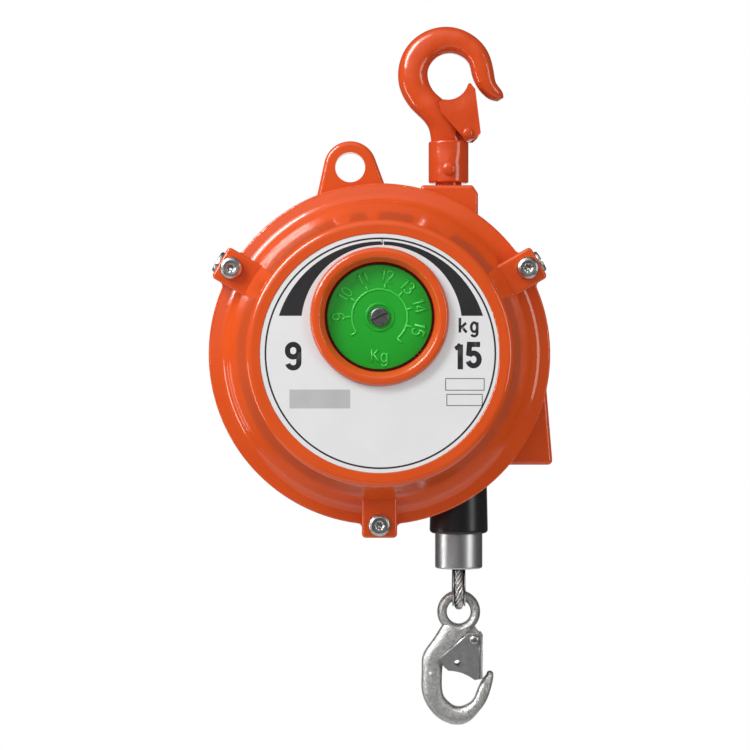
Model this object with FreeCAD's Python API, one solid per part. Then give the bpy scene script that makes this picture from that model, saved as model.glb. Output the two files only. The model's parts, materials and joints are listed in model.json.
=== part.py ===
"""Spring tool balancer: one STEP file per piece, in millimetres.

Frame: +Z up, the front with the dial faces -Y, +X to the right.
The origin is the saddle of the upper hook, where the balancer hangs.
Most places are counted from the main shaft, whose axis runs along Y.
"""
import FreeCAD
import Part
import math
import os

# ---------------------------------------------------------------- main places
RIM_R = 92.0             # outer radius of both castings at the joint face
HOOK_DROP = 73.3         # saddle of the upper hook above the top of its tower
TOWER_TOP = RIM_R - 0.3
SHAFT_X = -38.6          # main shaft axis, from the saddle of the upper hook
SHAFT_Z = -(TOWER_TOP + HOOK_DROP)
SWIVEL_X = 37.9          # axis of the hook stem, from the main shaft
ROPE_X = 43.5            # falling rope, from the main shaft
PARTING_Y = -20.0        # joint face between the two castings

# ---------------------------------------------------------------- clearances
RUN_FIT = 0.06           # radial clearance of a shaft in its bush
SIDE_GAP = 0.3           # axial gap between pieces that turn past each other

# ---------------------------------------------------------------- drum and spring
ROPE_R = 2.0
GROOVE_R = ROPE_R + 0.1
WRAPS = 6
WRAP_STEP_R = 3.4
FIRST_WRAP = 300.0       # degrees of the wrap that is paid out first
LAST_WRAP = 320.0
WRAP_STEP_Y = 2 * GROOVE_R + 0.4
PLATE_R = 67.0           # front plate of the drum, which closes the spring case
PLATE_REAR_Y = -WRAP_STEP_Y * (WRAPS - 1) - 2.6
PLATE_FRONT_Y = PLATE_REAR_Y - 2.4
SPRING_T = 1.4
SPRING_W = 18.0
SPRING_COILS = 3         # open coils; the rest lie packed against the case
SPRING_PACK_R = 51.0
CASE_FRONT_Y = PLATE_FRONT_Y - SPRING_W - 2.0
CASE_WALL = 5.5
COVER_T = 1.5
ARBOR_R = 16.0
ARBOR_CATCH = 1.6        # nose that holds the inner end of the mainspring
DRUM_SHELL = 4.5
DRUM_REAR_Y = 5.0
DRUM_BUSH_R = 11.5
DRUM_BUSH_L = 10.0
DRUM_SCREW_R = 1.5       # M3
DRUM_SCREW_ANGLES = (45.0, 135.0, 225.0, 315.0)
PAWL_CIRCLE_R = 35.0
PAWL_PIN_R = 3.0
PAWL_T = 4.0
ANCHOR_R = 4.0

# ---------------------------------------------------------------- casings
FLANGE_T = 4.5           # thickness of the front cover's rim
REAR_FLANGE_T = 3.6
WALL = 3.5               # cast wall
LABEL_R = 62.4           # recess for the name plate
PLATE_T = 0.6
PLATE_RECESS = 1.0
FLOOR_Y = CASE_FRONT_Y - 6.0     # floor of the dial pocket
FLOOR_T = 3.5
CROWN_Y = FLOOR_Y - 12.5         # raised ring round the name plate
DIAL_Z = 19.0            # dial axis above the main shaft
DIAL_R = 27.4
DIAL_Y = FLOOR_Y - 8.5           # front face of the dial
DIAL_T = 2.5
DIAL_GAP = 1.3
DIAL_RING_R = 35.8       # raised ring round the dial window
DIAL_RING_INNER_R = 31.2
DIAL_RING_Y = FLOOR_Y - 16.0
DIAL_SCREW_R = 2.5       # M5
CHAMBER_R = PLATE_R + 4.0        # inside of the rear housing
CHAMBER_END_Y = 26.0     # inner face of the rear wall
REAR_WALL_T = 4.0
HUB_R = 20.0             # rear hub, which carries the rear bush
HUB_END_Y = CHAMBER_END_Y + 12.0
CAP_T = 3.0
CAP_SCREW_R = 2.0        # M4
CAP_SCREW_ANGLES = (90.0, 210.0, 330.0)

BOSS_ANGLES = (30.0, 150.0, 270.0)
BOSS_W = 18.8
BOSS_REACH = RIM_R + 6.0         # flat outer end of each boss
BOSS_FRONT_Y = -40.0
BOSS_REAR_Y = 4.0
BOLT_CIRCLE_R = RIM_R - 1.0
BOLT_R = 3.0             # M6
BOLT_HEAD_R = 5.9
BOLT_HEAD_H = 4.2
BOLT_END_Y = -9.0
SIDE_SCREW_Y = -3.2
SIDE_SCREW_END_R = BOSS_REACH - 14.0
SIDE_SCREW_HEAD_R = 6.2
SIDE_SCREW_HEAD_H = 2.6

TOWER_HALF_W = 15.6      # block that carries the hook stem
TOWER_HALF_D = 16.0
STEM_R = 7.2
STEM_THREAD_R = 6.0      # M12
STEM_THREAD_L = 14.5
NUT_POCKET_R = 12.8
NUT_POCKET_TOP = TOWER_TOP - 11.2
NUT_FLATS = 19.0
NUT_H = 9.5
THRUST_T = 1.5
COTTER_R = 1.2

LUG_X = -15.8            # safety lug
LUG_Z = RIM_R + 9.0
LUG_HOLE_R = 8.1
LUG_R = 14.3
LUG_T = 10.0
LUG_FRONT_Y = -19.0

# ---------------------------------------------------------------- worm drive
WHEEL_Y = 17.0           # middle plane of the worm wheel
WHEEL_T = 12.0
WORM_MODULE = 2.5
WHEEL_TEETH = 50
WORM_PITCH_R = 8.5
WORM_X = WORM_MODULE * WHEEL_TEETH / 2 + WORM_PITCH_R
WORM_CAVITY_R = 11.8
WORM_JOURNAL_R = 6.0
RETAINER_L = 7.0
LOWER_BUSH_TOP = 27.5    # below the worm wheel's rim, counted down from the shaft
KEY_HOLE_R = 5.0         # way in for the hexagon key
WORM_HALF_L = 16.0
WORM_BUSH_R = 8.5
WORM_BUSH_L = 9.0
BLOCK_BOTTOM = -60.7
BLOCK_TOP = 30.0
BLOCK_RIGHT_BOTTOM = 95.3
BLOCK_RIGHT_TOP = 87.9
BLOCK_LEFT = 56.0
BLOCK_HALF_D = 16.0
HEX_FLATS = 6.0

# ---------------------------------------------------------------- shaft
SHAFT_FRONT_R = 7.0
SHAFT_ARBOR_R = 8.0
SHAFT_DRUM_R = 8.5
SHAFT_COLLAR_R = 11.0
SHAFT_WHEEL_R = 9.0
SHAFT_REAR_R = 8.0
SPIGOT_R = 2.0
BUSH_WALL = 2.5
KEY_W = 4.0
KEY_RISE = 1.6

# ---------------------------------------------------------------- dial gears
GEAR_MODULE = 0.75
PINION_TEETH = 10
IDLER_TEETH = 28
DIAL_GEAR_TEETH = 36
GEAR_T = 2.2
SECOND_STAGE_Y = FLOOR_Y - 3.2
FIRST_STAGE_Y = SECOND_STAGE_Y - GEAR_T - 0.2
IDLER_PIN_R = 1.5

# ---------------------------------------------------------------- rope end
NECK_BOTTOM = -70.0
NECK_R = 14.0
GUIDE_R = 8.0
GUIDE_BORE_R = ROPE_R + 1.0
ROPE_FIT = 0.3           # rope in the bumper and in the stop
BUMPER_R = 16.0
BUMPER_BOTTOM = -97.9
STOP_R = 13.0
STOP_BOTTOM = -117.1
FERRULE_L = 11.0
FERRULE_RISE = 14.0      # top of the ferrule above the sleeve's lower end
EYE_Z = -141.0           # centre of the lower hook's eye
EYE_HOLE_R = 6.5
EYE_R = 11.8
EYE_HALF_T = 4.0
LOOP_R = 9.0             # rope centre line round the thimble
THIMBLE_HALF_W = 3.5
THIMBLE_WALL = 0.7

# ---------------------------------------------------------------- hooks
UPPER_T = 17.0           # thickness of the upper hook
SHANK_R = 6.8
SHANK_END = -66.0        # lower end of the shank, from the saddle
COLLAR_R = 11.0
COLLAR_TOP = -48.4
COLLAR_PIN_Z = -64.2
COLLAR_PIN_R = 3.0
LOWER_T = 10.0
LATCH_SHEET = 1.3
LATCH_GAP = 0.35         # between a hook's side and the latch's cheek
LOWER_RIVET_R = 1.8
UPPER_RIVET_R = 1.9
EAR_T = 5.0              # tongue that carries the latch rivet, lower hook
UPPER_EAR_T = 7.0


# ================================================================ basic shapes
def pt(x, y, z):
    """A point counted from the main shaft axis."""
    return FreeCAD.Vector(SHAFT_X + x, y, SHAFT_Z + z)


X_DIR = FreeCAD.Vector(1, 0, 0)
Y_DIR = FreeCAD.Vector(0, 1, 0)
Z_DIR = FreeCAD.Vector(0, 0, 1)


def wire(items, place):
    """Closed wire. An item is (u, v), a straight run to that point, or
    (mid u, mid v, u, v), an arc through the first point to the second."""
    start = place(*items[0][-2:])
    here = start
    edges = []
    for item in items[1:] + items[:1]:
        there = place(*item[-2:])
        if len(item) == 4:
            edges.append(Part.Arc(here, place(*item[:2]), there).toShape())
        elif (there - here).Length > 1e-6:
            edges.append(Part.LineSegment(here, there).toShape())
        here = there
    return Part.Wire(edges)


def eased(corners):
    """Items for wire() from corners (u, v, radius); a corner with a radius is
    replaced by the arc that touches both of its sides."""
    items = []
    count = len(corners)
    for i, (u, v, radius) in enumerate(corners):
        if not radius:
            items.append((u, v))
            continue
        here = FreeCAD.Vector(u, v, 0)
        back = FreeCAD.Vector(*corners[i - 1][:2], 0) - here
        ahead = FreeCAD.Vector(*corners[(i + 1) % count][:2], 0) - here
        back.normalize()
        ahead.normalize()
        half = back.getAngle(ahead) / 2
        run = radius / math.tan(half)
        inward = (back + ahead).normalize()
        top = here + inward * (radius / math.sin(half) - radius)
        first = here + back * run
        last = here + ahead * run
        items.append((first.x, first.y))
        items.append((top.x, top.y, last.x, last.y))
    return items


def slab(items, y0, y1):
    """Outline in X and Z, extruded along Y."""
    face = Part.Face(wire(items, lambda x, z: pt(x, y0, z)))
    return face.extrude(Y_DIR * (y1 - y0))


def turned(items, x=0.0, z=0.0, angle=360.0):
    """Profile in radius and Y, turned round a Y axis."""
    face = Part.Face(wire(items, lambda r, y: pt(x + r, y, z)))
    return face.revolve(pt(x, 0, z), Y_DIR, angle)


def turned_up(items, x, y):
    """Profile in radius and Z, turned round a vertical axis."""
    face = Part.Face(wire(items, lambda r, z: pt(x + r, y, z)))
    return face.revolve(pt(x, y, 0), Z_DIR, 360)


def disc(r, y0, y1, x=0.0, z=0.0):
    return Part.makeCylinder(r, y1 - y0, pt(x, y0, z), Y_DIR)


def ring(r_out, r_in, y0, y1, x=0.0, z=0.0):
    return disc(r_out, y0, y1, x, z).cut(disc(r_in, y0 - 1, y1 + 1, x, z))


def post(r, z0, z1, x, y):
    return Part.makeCylinder(r, z1 - z0, pt(x, y, z0), Z_DIR)


def tube(r_out, r_in, z0, z1, x, y):
    return post(r_out, z0, z1, x, y).cut(post(r_in, z0 - 1, z1 + 1, x, y))


def box(x0, x1, y0, y1, z0, z1):
    return Part.makeBox(x1 - x0, y1 - y0, z1 - z0, pt(x0, y0, z0))


def spun(shape, degrees, x=0.0, z=0.0):
    """A copy turned round a Y axis, from +X towards +Z for positive degrees."""
    copy = shape.copy()
    copy.rotate(pt(x, 0, z), Y_DIR, -degrees)
    return copy


def on_circle(radius, degrees):
    turn = math.radians(degrees)
    return radius * math.cos(turn), radius * math.sin(turn)


def hex_prism(flats, y0, y1, x, z):
    corner = flats / math.sqrt(3)
    points = [(x + corner * math.cos(math.radians(60 * i)),
               z + corner * math.sin(math.radians(60 * i))) for i in range(6)]
    return slab(points, y0, y1)


def hex_post(flats, z0, z1, x, y):
    corner = flats / math.sqrt(3)
    points = [(corner * math.cos(math.radians(60 * i)),
               corner * math.sin(math.radians(60 * i))) for i in range(6)]
    face = Part.Face(wire(points, lambda u, v: pt(x + u, y + v, z0)))
    return face.extrude(Z_DIR * (z1 - z0))


def fused(first, *others):
    return first.fuse(list(others)).removeSplitter()


def cut_all(shape, *tools):
    return shape.cut(list(tools))


def rounded(shape, radius, chosen):
    """Fillet the edges for which chosen(edge) is true."""
    return shape.makeFillet(radius, [e for e in shape.Edges if chosen(e)])


def runs_along(edge, direction):
    if edge.Curve.TypeId != "Part::GeomLine":
        return False
    ends = edge.Vertexes
    run = ends[1].Point - ends[0].Point
    return abs(run.normalize().dot(direction)) > 0.999


def in_plane(edge, y):
    box_ = edge.BoundBox
    return abs(box_.YMin - y) < 1e-4 and abs(box_.YMax - y) < 1e-4


# ================================================================ castings
def boss(y0, y1, corner=2.2):
    """One square lug on the rim, at angle 0; its outer corners are rounded."""
    block = box(BOSS_REACH - 28, BOSS_REACH, y0, y1, -BOSS_W / 2, BOSS_W / 2)
    outer = SHAFT_X + BOSS_REACH
    return rounded(block, corner,
                   lambda e: runs_along(e, Y_DIR) and abs(e.CenterOfMass.x - outer) < 0.1)


def rim(y0, y1):
    """Flange of either casting: the disc, its three lugs and the fillets between."""
    plate = disc(RIM_R, y0, y1)
    plate = fused(plate, *[spun(boss(y0, y1), a) for a in BOSS_ANGLES])
    centre = pt(0, 0, 0)

    def root(edge):
        if not runs_along(edge, Y_DIR):
            return False
        place = edge.CenterOfMass - centre
        return abs(math.hypot(place.x, place.z) - RIM_R) < 0.05
    return rounded(plate, 2.6, root)


def front_cover():
    """Bell-shaped front casting with the dial pocket."""
    lip_y = PARTING_Y - FLANGE_T
    foot_r = RIM_R - 9.4
    top_r = LABEL_R + 6.8
    plate_seat = CROWN_Y + PLATE_RECESS
    bell = turned(eased([
        (0, PARTING_Y, 0), (RIM_R - 6, PARTING_Y, 0), (RIM_R - 6, lip_y, 0),
        (RIM_R - 1.2, lip_y, 0), (foot_r, lip_y - 2.2, 7.0), (top_r, CROWN_Y, 3.5),
        (LABEL_R, CROWN_Y, 0.4), (LABEL_R, plate_seat, 0), (0, plate_seat, 0)]))
    plate = rim(lip_y, PARTING_Y)
    plate = rounded(plate, 1.0, lambda e: in_plane(e, lip_y))
    lugs = []
    for angle in BOSS_ANGLES:
        lug = boss(BOSS_FRONT_Y, lip_y + 1.5)
        lug = rounded(lug, 1.6, lambda e: in_plane(e, BOSS_FRONT_Y)
                      and e.BoundBox.XMax > SHAFT_X + BOSS_REACH - 27)
        lugs.append(spun(lug, angle))
    shell = fused(bell, plate, *lugs)
    inner_foot_r = foot_r - 4.2
    inner_top_r = top_r - WALL
    hollow = turned(eased([
        (0, PARTING_Y + 1, 0), (inner_foot_r, PARTING_Y + 1, 0), (inner_foot_r, lip_y - 4.5, 0),
        (inner_top_r, CROWN_Y + PLATE_RECESS + WALL, 2.5), (0, CROWN_Y + PLATE_RECESS + WALL, 0)]))
    shell = shell.cut(hollow)
    window_r = DIAL_R + DIAL_GAP
    gear_r = max(gear_pocket_r(), window_r)
    pocket_wall = disc(gear_r + WALL, CROWN_Y + 4.0, FLOOR_Y + FLOOR_T, 0, DIAL_Z)
    raised = turned(eased([
        (DIAL_RING_R + 0.4, CROWN_Y + 1.5, 0), (DIAL_RING_R, DIAL_RING_Y, 2.2),
        (DIAL_RING_INNER_R, DIAL_RING_Y, 1.6), (window_r, DIAL_Y - 1.5, 0),
        (window_r, CROWN_Y + 1.5, 0)]), 0, DIAL_Z)
    shell = fused(shell, pocket_wall, raised)
    hub = disc(SHAFT_FRONT_R + BUSH_WALL + 2.5, FLOOR_Y, bush_end_y())
    screw_boss = disc(6.0, FLOOR_Y + 1, FLOOR_Y + FLOOR_T, 0, DIAL_Z)
    pocket = turned([
        (0, FLOOR_Y), (gear_r, FLOOR_Y), (gear_r, FIRST_STAGE_Y - 1.0),
        (window_r, FIRST_STAGE_Y - 1.0), (window_r, DIAL_RING_Y - 1), (0, DIAL_RING_Y - 1)],
        0, DIAL_Z)
    shell = fused(shell.cut(pocket), hub, screw_boss)
    ix, iz = idler_place()
    holes = [disc(SHAFT_FRONT_R + BUSH_WALL, FLOOR_Y - 5, FLOOR_Y + 8),
             disc(DIAL_SCREW_R, FLOOR_Y - 1, FLOOR_Y + 6, 0, DIAL_Z),
             disc(IDLER_PIN_R, FLOOR_Y - 1, FLOOR_Y + 6, ix, iz)]
    for angle in BOSS_ANGLES:
        x, z = on_circle(BOLT_CIRCLE_R, angle)
        holes.append(disc(BOLT_R + 0.3, BOSS_FRONT_Y - 3, PARTING_Y + 1, x, z))
    return cut_all(shell, *holes)


def gear_pocket_r():
    """Room behind the dial for the idler, counted from the dial axis."""
    x, z = idler_place()
    tip = GEAR_MODULE * (IDLER_TEETH / 2 + 0.8)
    return math.hypot(x, DIAL_Z - z) + tip + SIDE_GAP


def worm_block():
    """Vertical casting at the right that holds the worm."""
    block = slab([(BLOCK_LEFT, BLOCK_BOTTOM), (BLOCK_RIGHT_BOTTOM, BLOCK_BOTTOM),
                  (BLOCK_RIGHT_TOP, BLOCK_TOP), (BLOCK_LEFT, BLOCK_TOP)],
                 WHEEL_Y - BLOCK_HALF_D, WHEEL_Y + BLOCK_HALF_D)
    return block.makeFillet(2.6, block.Edges)


def hook_tower():
    """Upright block over the drum chamber with the bore for the hook stem."""
    left = SWIVEL_X - TOWER_HALF_W
    right = SWIVEL_X + TOWER_HALF_W
    foot = TOWER_TOP - 51.7
    block = slab([(left, foot), (right, foot), (right, TOWER_TOP - 4.5),
                  (right - 3.0, TOWER_TOP), (left, TOWER_TOP)],
                 -TOWER_HALF_D, TOWER_HALF_D)
    return rounded(block, 2.0, lambda e: e.BoundBox.ZMin > SHAFT_Z + foot - 1)


def tangent_point(foot, centre, radius, side):
    """Where a straight line from foot touches a circle; side is +1 or -1."""
    dx, dz = foot[0] - centre[0], foot[1] - centre[1]
    away = math.atan2(dz, dx)
    turn = side * math.acos(radius / math.hypot(dx, dz))
    return centre[0] + radius * math.cos(away + turn), centre[1] + radius * math.sin(away + turn)


def safety_lug():
    """Ear for the safety chain, blended into the rim with straight flanks."""
    reach = RIM_R - 1.0
    centre = (LUG_X, LUG_Z)
    left_foot = on_circle(reach, 112)
    right_foot = on_circle(reach, 88)
    left = tangent_point(left_foot, centre, LUG_R, -1)
    right = tangent_point(right_foot, centre, LUG_R, 1)
    web = slab([left_foot, on_circle(reach - 19, 112), on_circle(reach - 19, 88), right_foot,
                right, (LUG_X, LUG_Z + LUG_R) + left], LUG_FRONT_Y, LUG_FRONT_Y + LUG_T)
    low = SHAFT_Z + RIM_R - 9
    return rounded(web, 2.5, lambda e: not runs_along(e, Y_DIR) and e.BoundBox.ZMax > low)


def rear_housing():
    """Rear casting: chamber, worm block, hook tower, safety lug, rope outlet."""
    wall_end = CHAMBER_END_Y + REAR_WALL_T
    chamber = disc(CHAMBER_R + WALL, PARTING_Y, wall_end)
    chamber = rounded(chamber, 5.0, lambda e: in_plane(e, wall_end))
    hub = disc(HUB_R, CHAMBER_END_Y - 3, HUB_END_Y)
    plate = rim(PARTING_Y, PARTING_Y + REAR_FLANGE_T)
    lugs = [spun(boss(PARTING_Y + 3, BOSS_REAR_Y), a) for a in BOSS_ANGLES]
    neck = post(NECK_R, NECK_BOTTOM, -50, ROPE_X, 0)
    ribs = [spun(box(HUB_R - 2, CHAMBER_R - 4, CHAMBER_END_Y + 2, wall_end + 2.5, -2, 2), a)
            for a in (45, 90, 135, 180, 225, 270)]
    body = fused(chamber, hub, plate, worm_block(), hook_tower(), safety_lug(), neck,
                 *(lugs + ribs))
    sx = SWIVEL_X
    worm_y = WHEEL_Y
    holes = [
        disc(CHAMBER_R, PARTING_Y - 1, CHAMBER_END_Y - 3),
        ring(CHAMBER_R, HUB_R, CHAMBER_END_Y - 4, CHAMBER_END_Y),
        disc(SHAFT_REAR_R + BUSH_WALL, CHAMBER_END_Y - 5, HUB_END_Y - 7),
        disc(SHAFT_REAR_R + BUSH_WALL + 1.5, HUB_END_Y - 7, HUB_END_Y + 1),
        post(STEM_R + RUN_FIT, NUT_POCKET_TOP - 20, TOWER_TOP + 1, sx, 0),
        post(NUT_POCKET_R, 40, NUT_POCKET_TOP, sx, 0),
        post(WORM_CAVITY_R, BLOCK_BOTTOM - 1, WORM_HALF_L + 1, WORM_X, worm_y),
        post(WORM_BUSH_R, WORM_HALF_L, WORM_HALF_L + 1 + WORM_BUSH_L, WORM_X, worm_y),
        post(GUIDE_R, NECK_BOTTOM - 1, -50, ROPE_X, 0),
        post(GUIDE_R + 3, NECK_BOTTOM - 1, NECK_BOTTOM + 2, ROPE_X, 0),
        disc(LUG_HOLE_R, LUG_FRONT_Y - 1, LUG_FRONT_Y + LUG_T + 1, LUG_X, LUG_Z)]
    for angle in BOSS_ANGLES:
        x, z = on_circle(BOLT_CIRCLE_R, angle)
        holes.append(disc(BOLT_R, PARTING_Y - 1, BOLT_END_Y + 1, x, z))
    for angle in BOSS_ANGLES[:2]:
        bore = Part.makeCylinder(BOLT_R, 20, pt(SIDE_SCREW_END_R - 1, SIDE_SCREW_Y, 0), X_DIR)
        holes.append(spun(bore, angle))
    for angle in CAP_SCREW_ANGLES:
        x, z = on_circle(HUB_R - 4, angle)
        holes.append(disc(CAP_SCREW_R, HUB_END_Y - 9, HUB_END_Y + 1, x, z))
    return cut_all(body, *holes)


def rear_cap():
    """Round cover over the end of the main shaft."""
    cap = disc(HUB_R, HUB_END_Y, HUB_END_Y + CAP_T)
    cap = rounded(cap, 1.2, lambda e: in_plane(e, HUB_END_Y + CAP_T))
    holes = []
    for angle in CAP_SCREW_ANGLES:
        x, z = on_circle(HUB_R - 4, angle)
        holes.append(disc(CAP_SCREW_R + 0.2, HUB_END_Y - 1, HUB_END_Y + CAP_T + 1, x, z))
    return cut_all(cap, *holes)


def cap_screws():
    """Three M4 screws of the rear cap."""
    screws = []
    for angle in CAP_SCREW_ANGLES:
        x, z = on_circle(HUB_R - 4, angle)
        head_end = HUB_END_Y + CAP_T + 2.6
        head = disc(CAP_SCREW_R + 1.5, HUB_END_Y + CAP_T, head_end, x, z)
        head = rounded(head, 0.6, lambda e: in_plane(e, head_end))
        head = head.cut(hex_prism(2.5, head_end - 1.6, head_end + 1, x, z))
        screws.append(fused(head, disc(CAP_SCREW_R, HUB_END_Y - 7, HUB_END_Y + CAP_T, x, z)))
    return Part.Compound(screws)


def case_bolts():
    """Three M6 pan-head screws that clamp the castings together."""
    bolts = []
    head_y = BOSS_FRONT_Y - BOLT_HEAD_H
    for angle in BOSS_ANGLES:
        x, z = on_circle(BOLT_CIRCLE_R, angle)
        head = turned([(0, BOSS_FRONT_Y), (BOLT_HEAD_R, BOSS_FRONT_Y),
                       (BOLT_HEAD_R, head_y + 1.8),
                       (BOLT_HEAD_R - 0.5, head_y + 0.5, BOLT_HEAD_R - 1.8, head_y),
                       (0, head_y)], x, z)
        head = head.cut(hex_prism(4.0, head_y - 1, head_y + 2.2, x, z))
        bolts.append(fused(head, disc(BOLT_R, BOSS_FRONT_Y - 1, BOLT_END_Y, x, z)))
    return Part.Compound(bolts)


def side_screws():
    """Low-head M6 screws in the side faces of the two upper lugs."""
    screws = []
    for angle in BOSS_ANGLES[:2]:
        shank = Part.makeCylinder(BOLT_R, BOSS_REACH - SIDE_SCREW_END_R,
                                  pt(SIDE_SCREW_END_R, SIDE_SCREW_Y, 0), X_DIR)
        head = Part.makeCylinder(SIDE_SCREW_HEAD_R, SIDE_SCREW_HEAD_H,
                                 pt(BOSS_REACH, SIDE_SCREW_Y, 0), X_DIR)
        top = SHAFT_X + BOSS_REACH + SIDE_SCREW_HEAD_H
        head = rounded(head, 1.0, lambda e: abs(e.BoundBox.XMin - top) < 1e-4)
        slot = box(BOSS_REACH + SIDE_SCREW_HEAD_H - 1.2, BOSS_REACH + SIDE_SCREW_HEAD_H + 1,
                   SIDE_SCREW_Y - 7, SIDE_SCREW_Y + 7, -0.7, 0.7)
        screws.append(spun(fused(head.cut(slot), shank), angle))
    return Part.Compound(screws)


def nameplate():
    """Printed round plate with the opening for the dial ring."""
    back = CROWN_Y + PLATE_RECESS
    plate = disc(LABEL_R - 0.1, back - PLATE_T, back)
    return plate.cut(disc(DIAL_RING_R + 0.4, back - 2, back + 1, 0, DIAL_Z))


# ================================================================ gears
def gear_outline(teeth, module, x, z, phase, slim=0.04):
    """Involute-like outline with straight flanks through three points."""
    pressure = math.radians(25)
    pitch_r = module * teeth / 2
    base_r = pitch_r * math.cos(pressure)
    tip_r = pitch_r + 0.8 * module
    root_r = pitch_r - 1.0 * module

    def involute(r):
        if r <= base_r:
            return 0.0
        return math.tan(math.acos(base_r / r)) - math.acos(base_r / r)
    half = math.pi / (2 * teeth) - slim / pitch_r
    points = []
    for i in range(teeth):
        middle = 2 * math.pi * i / teeth + phase
        flank = []
        for r in (root_r, pitch_r, tip_r):
            width = half + involute(pitch_r) - involute(r)
            flank.append((r, max(width, 0.12 / r)))
        for r, width in flank:
            points.append((r, middle - width))
        for r, width in reversed(flank):
            points.append((r, middle + width))
    return [(x + r * math.cos(a), z + r * math.sin(a)) for r, a in points]


def gear(teeth, module, y0, y1, x=0.0, z=0.0, phase=0.0, slim=0.04):
    return slab(gear_outline(teeth, module, x, z, phase, slim), y0, y1)


def idler_place():
    """Centre of the idler: in mesh with the shaft pinion and with the dial gear."""
    first = GEAR_MODULE * (PINION_TEETH + IDLER_TEETH) / 2
    second = GEAR_MODULE * (PINION_TEETH + DIAL_GEAR_TEETH) / 2
    z = (first ** 2 - second ** 2 + DIAL_Z ** 2) / (2 * DIAL_Z)
    return math.sqrt(first ** 2 - z ** 2), z


def mesh_phase(teeth, other_teeth, other_phase, direction):
    """Phase that puts a gap of this gear on the line to the other gear.
    direction is the angle from the other gear's centre to this one."""
    tooth_of_other = (direction - other_phase) * other_teeth / (2 * math.pi)
    offset = tooth_of_other - round(tooth_of_other)
    back = direction + math.pi
    return back + (0.5 + offset) * 2 * math.pi / teeth


def idler_gear():
    """Compound idler of the dial drive: 28 teeth and 10 teeth."""
    x, z = idler_place()
    big = gear(IDLER_TEETH, GEAR_MODULE, FIRST_STAGE_Y, FIRST_STAGE_Y + GEAR_T, x, z,
               mesh_phase(IDLER_TEETH, PINION_TEETH, 0.0, math.atan2(z, x)))
    small = gear(PINION_TEETH, GEAR_MODULE, FIRST_STAGE_Y + GEAR_T,
                 SECOND_STAGE_Y + GEAR_T, x, z)
    bore = disc(IDLER_PIN_R + RUN_FIT, FIRST_STAGE_Y - 1, FLOOR_Y, x, z)
    return fused(big, small).cut(bore)


def idler_pin():
    x, z = idler_place()
    head = disc(2.4, FIRST_STAGE_Y - 0.25, FIRST_STAGE_Y - 0.05, x, z)
    return fused(head, disc(IDLER_PIN_R, FIRST_STAGE_Y - 0.1, FLOOR_Y + FLOOR_T, x, z))


def shaft_pinion():
    """Ten-tooth pinion pressed on the shaft's front spigot."""
    blank = gear(PINION_TEETH, GEAR_MODULE, FIRST_STAGE_Y, FIRST_STAGE_Y + GEAR_T)
    return blank.cut(disc(SPIGOT_R, FIRST_STAGE_Y - 1, FLOOR_Y))


def dial_gear():
    """Gear with a hub, fixed to the back of the dial."""
    x, z = idler_place()
    phase = mesh_phase(DIAL_GEAR_TEETH, PINION_TEETH, 0.0, math.atan2(DIAL_Z - z, -x))
    wheel = gear(DIAL_GEAR_TEETH, GEAR_MODULE, SECOND_STAGE_Y, SECOND_STAGE_Y + GEAR_T,
                 0, DIAL_Z, phase)
    hub = disc(5.2, DIAL_Y + DIAL_T, FLOOR_Y - SIDE_GAP, 0, DIAL_Z)
    return fused(wheel, hub).cut(disc(3.0 + RUN_FIT, DIAL_Y - 1, FLOOR_Y, 0, DIAL_Z))


def load_dial():
    """Dial disc with a raised hub ring, a scale arc and seven tick marks."""
    plate = disc(DIAL_R, DIAL_Y, DIAL_Y + DIAL_T, 0, DIAL_Z)
    raise_y = DIAL_Y - 0.5
    hub = ring(7.6, 6.6, raise_y, DIAL_Y + 0.2, 0, DIAL_Z)
    arc = ring(15.1, 14.5, raise_y, DIAL_Y + 0.2, 0, DIAL_Z)
    open_side = slab([(0, DIAL_Z), (20 * math.cos(math.radians(-50)),
                                    DIAL_Z + 20 * math.sin(math.radians(-50))),
                      (20 * math.cos(math.radians(213)),
                       DIAL_Z + 20 * math.sin(math.radians(213)))], raise_y - 1, DIAL_Y)
    ticks = [spun(box(14.8, 18.8, raise_y, DIAL_Y + 0.2, DIAL_Z - 0.3, DIAL_Z + 0.3),
                  a, 0, DIAL_Z) for a in tick_angles()]
    face = fused(plate, hub, arc.cut(open_side), *ticks)
    return face.cut(disc(3.0 + RUN_FIT, DIAL_Y - 2, DIAL_Y + DIAL_T + 1, 0, DIAL_Z))


def tick_angles():
    """Angles of the marks for 9 to 15, anticlockwise from +X."""
    step = 32.9
    return [180.0 - step * i for i in range(7)]


def dial_screw():
    """Slotted shoulder screw that the dial turns on."""
    head_r = 5.0
    head_y = DIAL_Y - SIDE_GAP
    head = turned([(0, head_y), (head_r, head_y), (head_r, head_y - 0.8),
                   (head_r - 0.3, head_y - 1.5, head_r - 1.2, head_y - 1.8),
                   (0, head_y - 1.8)], 0, DIAL_Z)
    slot = spun(box(-7, 7, head_y - 3, head_y - 1.0, DIAL_Z - 0.5, DIAL_Z + 0.5), 26, 0, DIAL_Z)
    shoulder = disc(3.0, head_y, FLOOR_Y, 0, DIAL_Z)
    thread = disc(DIAL_SCREW_R, FLOOR_Y, FLOOR_Y + FLOOR_T - 0.3, 0, DIAL_Z)
    return fused(head.cut(slot), shoulder, thread)


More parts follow.
